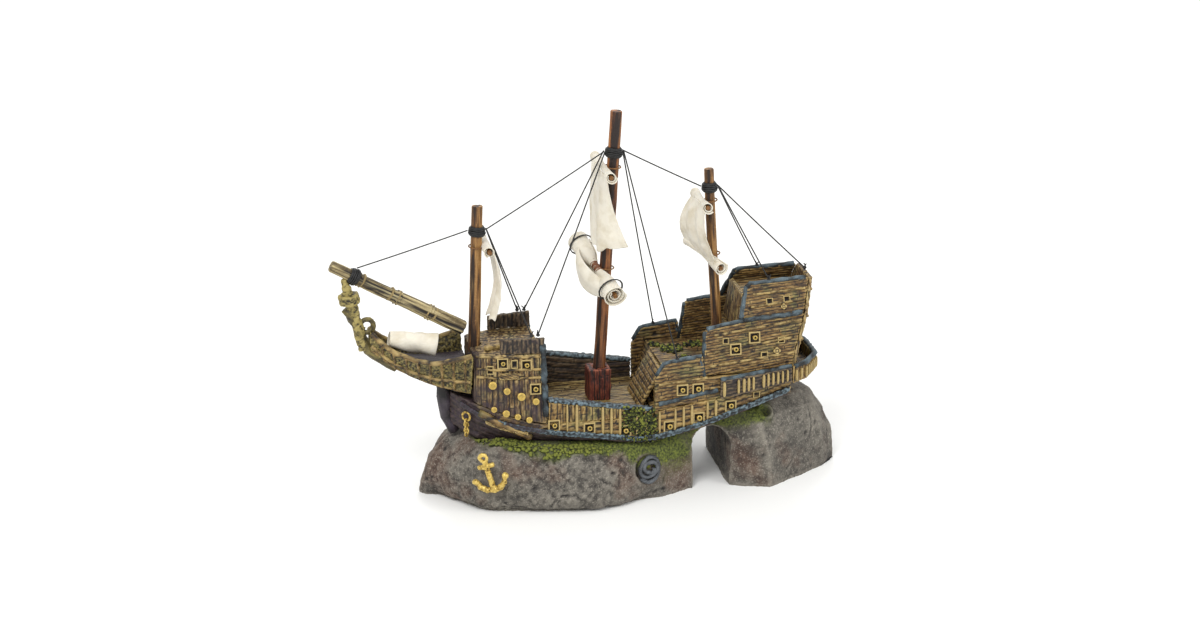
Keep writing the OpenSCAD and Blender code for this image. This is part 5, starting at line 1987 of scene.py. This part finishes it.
@dataclass
class Studio:
    """A plain pale floor, soft light from three sides and the camera."""

    camera_at: tuple[float, float, float] = (-0.2726, -1.3022, 0.5716)
    target: tuple[float, float, float] = (0.0051, 0.0, 0.0884)
    lens: float = 85.0

    def camera(self) -> None:
        """A camera that looks down at the port side, a little from ahead."""
        data = bpy.data.cameras.new("camera")
        data.lens = self.lens
        data.sensor_width = 36
        data.clip_start = 0.05
        data.clip_end = 20
        camera = bpy.data.objects.new("camera", data)
        bpy.context.scene.collection.objects.link(camera)
        camera.location = self.camera_at
        way = Vector(self.target) - Vector(self.camera_at)
        camera.rotation_euler = way.to_track_quat("-Z", "Y").to_euler()
        bpy.context.scene.camera = camera

    def floor(self) -> None:
        """The floor, wide enough to fill every view."""
        bpy.ops.mesh.primitive_plane_add(size=8)
        floor = bpy.context.object
        floor.name = "floor"
        made = bpy.data.materials.new("matt_white_paper")
        made.use_nodes = True
        shader = made.node_tree.nodes["Principled BSDF"]
        shader.inputs["Base Color"].default_value = linear("#f4f4f2")
        shader.inputs["Roughness"].default_value = 0.9
        floor.data.materials.append(made)
        floor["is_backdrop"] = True

    def lights(self) -> None:
        """A large key from above and to the left, a weaker fill and a pale surround."""
        for name, at, size, power in (("key", (-0.7, -1.0, 1.35), 0.7, 17.0),
                                      ("fill", (1.1, -0.9, 0.8), 0.8, 7.5),
                                      ("back", (0.3, 1.3, 1.2), 0.8, 9.0)):
            data = bpy.data.lights.new(name, "AREA")
            data.size = size
            data.energy = power
            light = bpy.data.objects.new(name, data)
            bpy.context.scene.collection.objects.link(light)
            light.location = at
            light.rotation_euler = (Vector((0, 0, 0.08)) - Vector(at)).to_track_quat("-Z", "Y").to_euler()
        world = bpy.data.worlds.new("surround")
        world.use_nodes = True
        back = world.node_tree.nodes["Background"]
        back.inputs["Color"].default_value = linear("#ffffff")
        back.inputs["Strength"].default_value = 0.75
        bpy.context.scene.world = world
        bpy.context.scene.view_settings.view_transform = "Standard"


@dataclass
class Galleon:
    """The whole ship: which CAD node is carved how."""

    frame: Frame
    done: list[str] = field(default_factory=list)

    def carvings(self) -> list[Carving]:
        """Every planked or cast surface."""
        f = self.frame
        up, flat = Boards.UPRIGHT, Boards.NONE
        out = [
            Carving(f, "hull", OCHRE, "wood_resin", width=3.0, depth=0.5, voxel=0.7),
            Carving(f, "wales", SLATE, "slate_resin", flat, voxel=0.45, rough=0.3),
            Carving(f, "waist_deck", CREAM, "wood_resin", width=2.4, slope=0.0),
            Carving(f, "port_waist_bulwark", OCHRE, "wood_resin", up, width=3.0),
            Carving(f, "starboard_waist_bulwark", DARK, "dark_resin", width=3.0, depth=0.5),
            Carving(f, "waist_rails", SLATE, "slate_resin", flat, rough=0.35),
            Carving(f, "forecastle", OCHRE_UPRIGHT, "wood_resin", up, width=2.6, depth=0.5),
            Carving(f, "forecastle_rail", DARK, "dark_resin", up, width=2.2, depth=0.5, rough=0.35),
            Carving(f, "beak_port_side", OLIVE, "wood_resin", Boards.NONE, rough=0.35, voxel=0.42),
            Carving(f, "beak_starboard_side", OLIVE, "wood_resin", Boards.NONE, rough=0.35, voxel=0.42),
            Carving(f, "beak_keel", DARK, "wood_resin", width=2.0),
            Carving(f, "mast_step", STEP, "mast_wood", up, width=2.6, depth=0.3, voxel=0.35),
            Carving(f, "half_deck", OCHRE, "wood_resin", width=2.6, slope=0.0),
            Carving(f, "boarding_ramp", OCHRE, "wood_resin", width=2.4, depth=0.45, slope=0.0),
            Carving(f, "quarterdeck", OCHRE, "wood_resin", up, width=2.4, slope=0.0),
            Carving(f, "poop_deck", OCHRE, "wood_resin", width=2.4, slope=0.0),
            Carving(f, "cabin_front", OCHRE_UPRIGHT, "wood_resin", up, width=2.2, depth=0.5),
            Carving(f, "transom", OCHRE_UPRIGHT, "wood_resin", up, width=2.2, depth=0.45),
            Carving(f, "stern_gallery", OCHRE, "wood_resin", up, width=2.4),
            Carving(f, "loose_planks", CREAM, "wood_resin", width=1.4, depth=0.35, voxel=0.35),
        ]
        for side in ("port", "starboard"):
            out += [
                Carving(f, f"{side}_{wall}_wall", OCHRE, "wood_resin", width=wide, depth=deep, slope=slope,
                        seed=seed, voxel=voxel)
                for wall, wide, deep, slope, seed, voxel in (
                    ("tier", 1.8, 0.35, 0.09, 3, 0.45),
                    ("quarter", 1.45, 0.32, 0.1, 4, 0.42),
                    ("poop", 1.45, 0.32, 0.07, 5, 0.42),
                )
            ]
            gallery = f"{side}_gallery"
            out.append(Carving(f, gallery, DARK, "wood_resin", width=1.8, depth=0.35, slope=0.12, seed=6))
        return out

    def dowels(self) -> list[Dowel]:
        """Every round spar."""
        f = self.frame
        sprit = f.line("bowsprit")
        long = (sprit.high - sprit.low).length
        return [
            Dowel(f, "mainmast", MAST, "mast_wood"),
            Dowel(f, "foremast", FORE_WOOD, "mast_wood"),
            Dowel(f, "mizzenmast", FORE_WOOD, "mast_wood"),
            Dowel(f, "bowsprit", SPRIT, "wood_resin", grain=0.4,
                  bands=(0.26 * long, 0.5 * long, 0.78 * long)),
        ]

    def build(self) -> None:
        """Carves every piece in order."""
        for piece in [*self.carvings(), *self.dowels()]:
            self.done.append(piece.build().name)
        for node in ("fore_yard", "main_top_yard", "main_yard", "mizzen_yards"):
            materials = self.frame.nodes[node].data.materials
            materials.clear()
            materials.append(YARD.material())
            LOG.info("%s keeps its CAD form", node)
        LOG.info("%d carved pieces", len(self.done))


def main() -> None:
    """Builds the ornament, piece by piece."""
    logging.basicConfig(level=logging.INFO, format="%(name)s: %(message)s")
    frame = Frame()
    studio = Studio()
    studio.camera()
    rigging = Rigging(frame)
    rigging.cords()
    Rock(frame).build()
    Galleon(frame).build()
    trim = Trim(frame)
    trim.build()
    rig = Rig(frame)
    rig.build()
    rigging.knots()
    rigging.lashings(rig)
    castings = Castings(frame)
    castings.build()
    castings.prow(trim, rig)
    studio.floor()
    studio.lights()


if __name__ == "__main__":
    main()
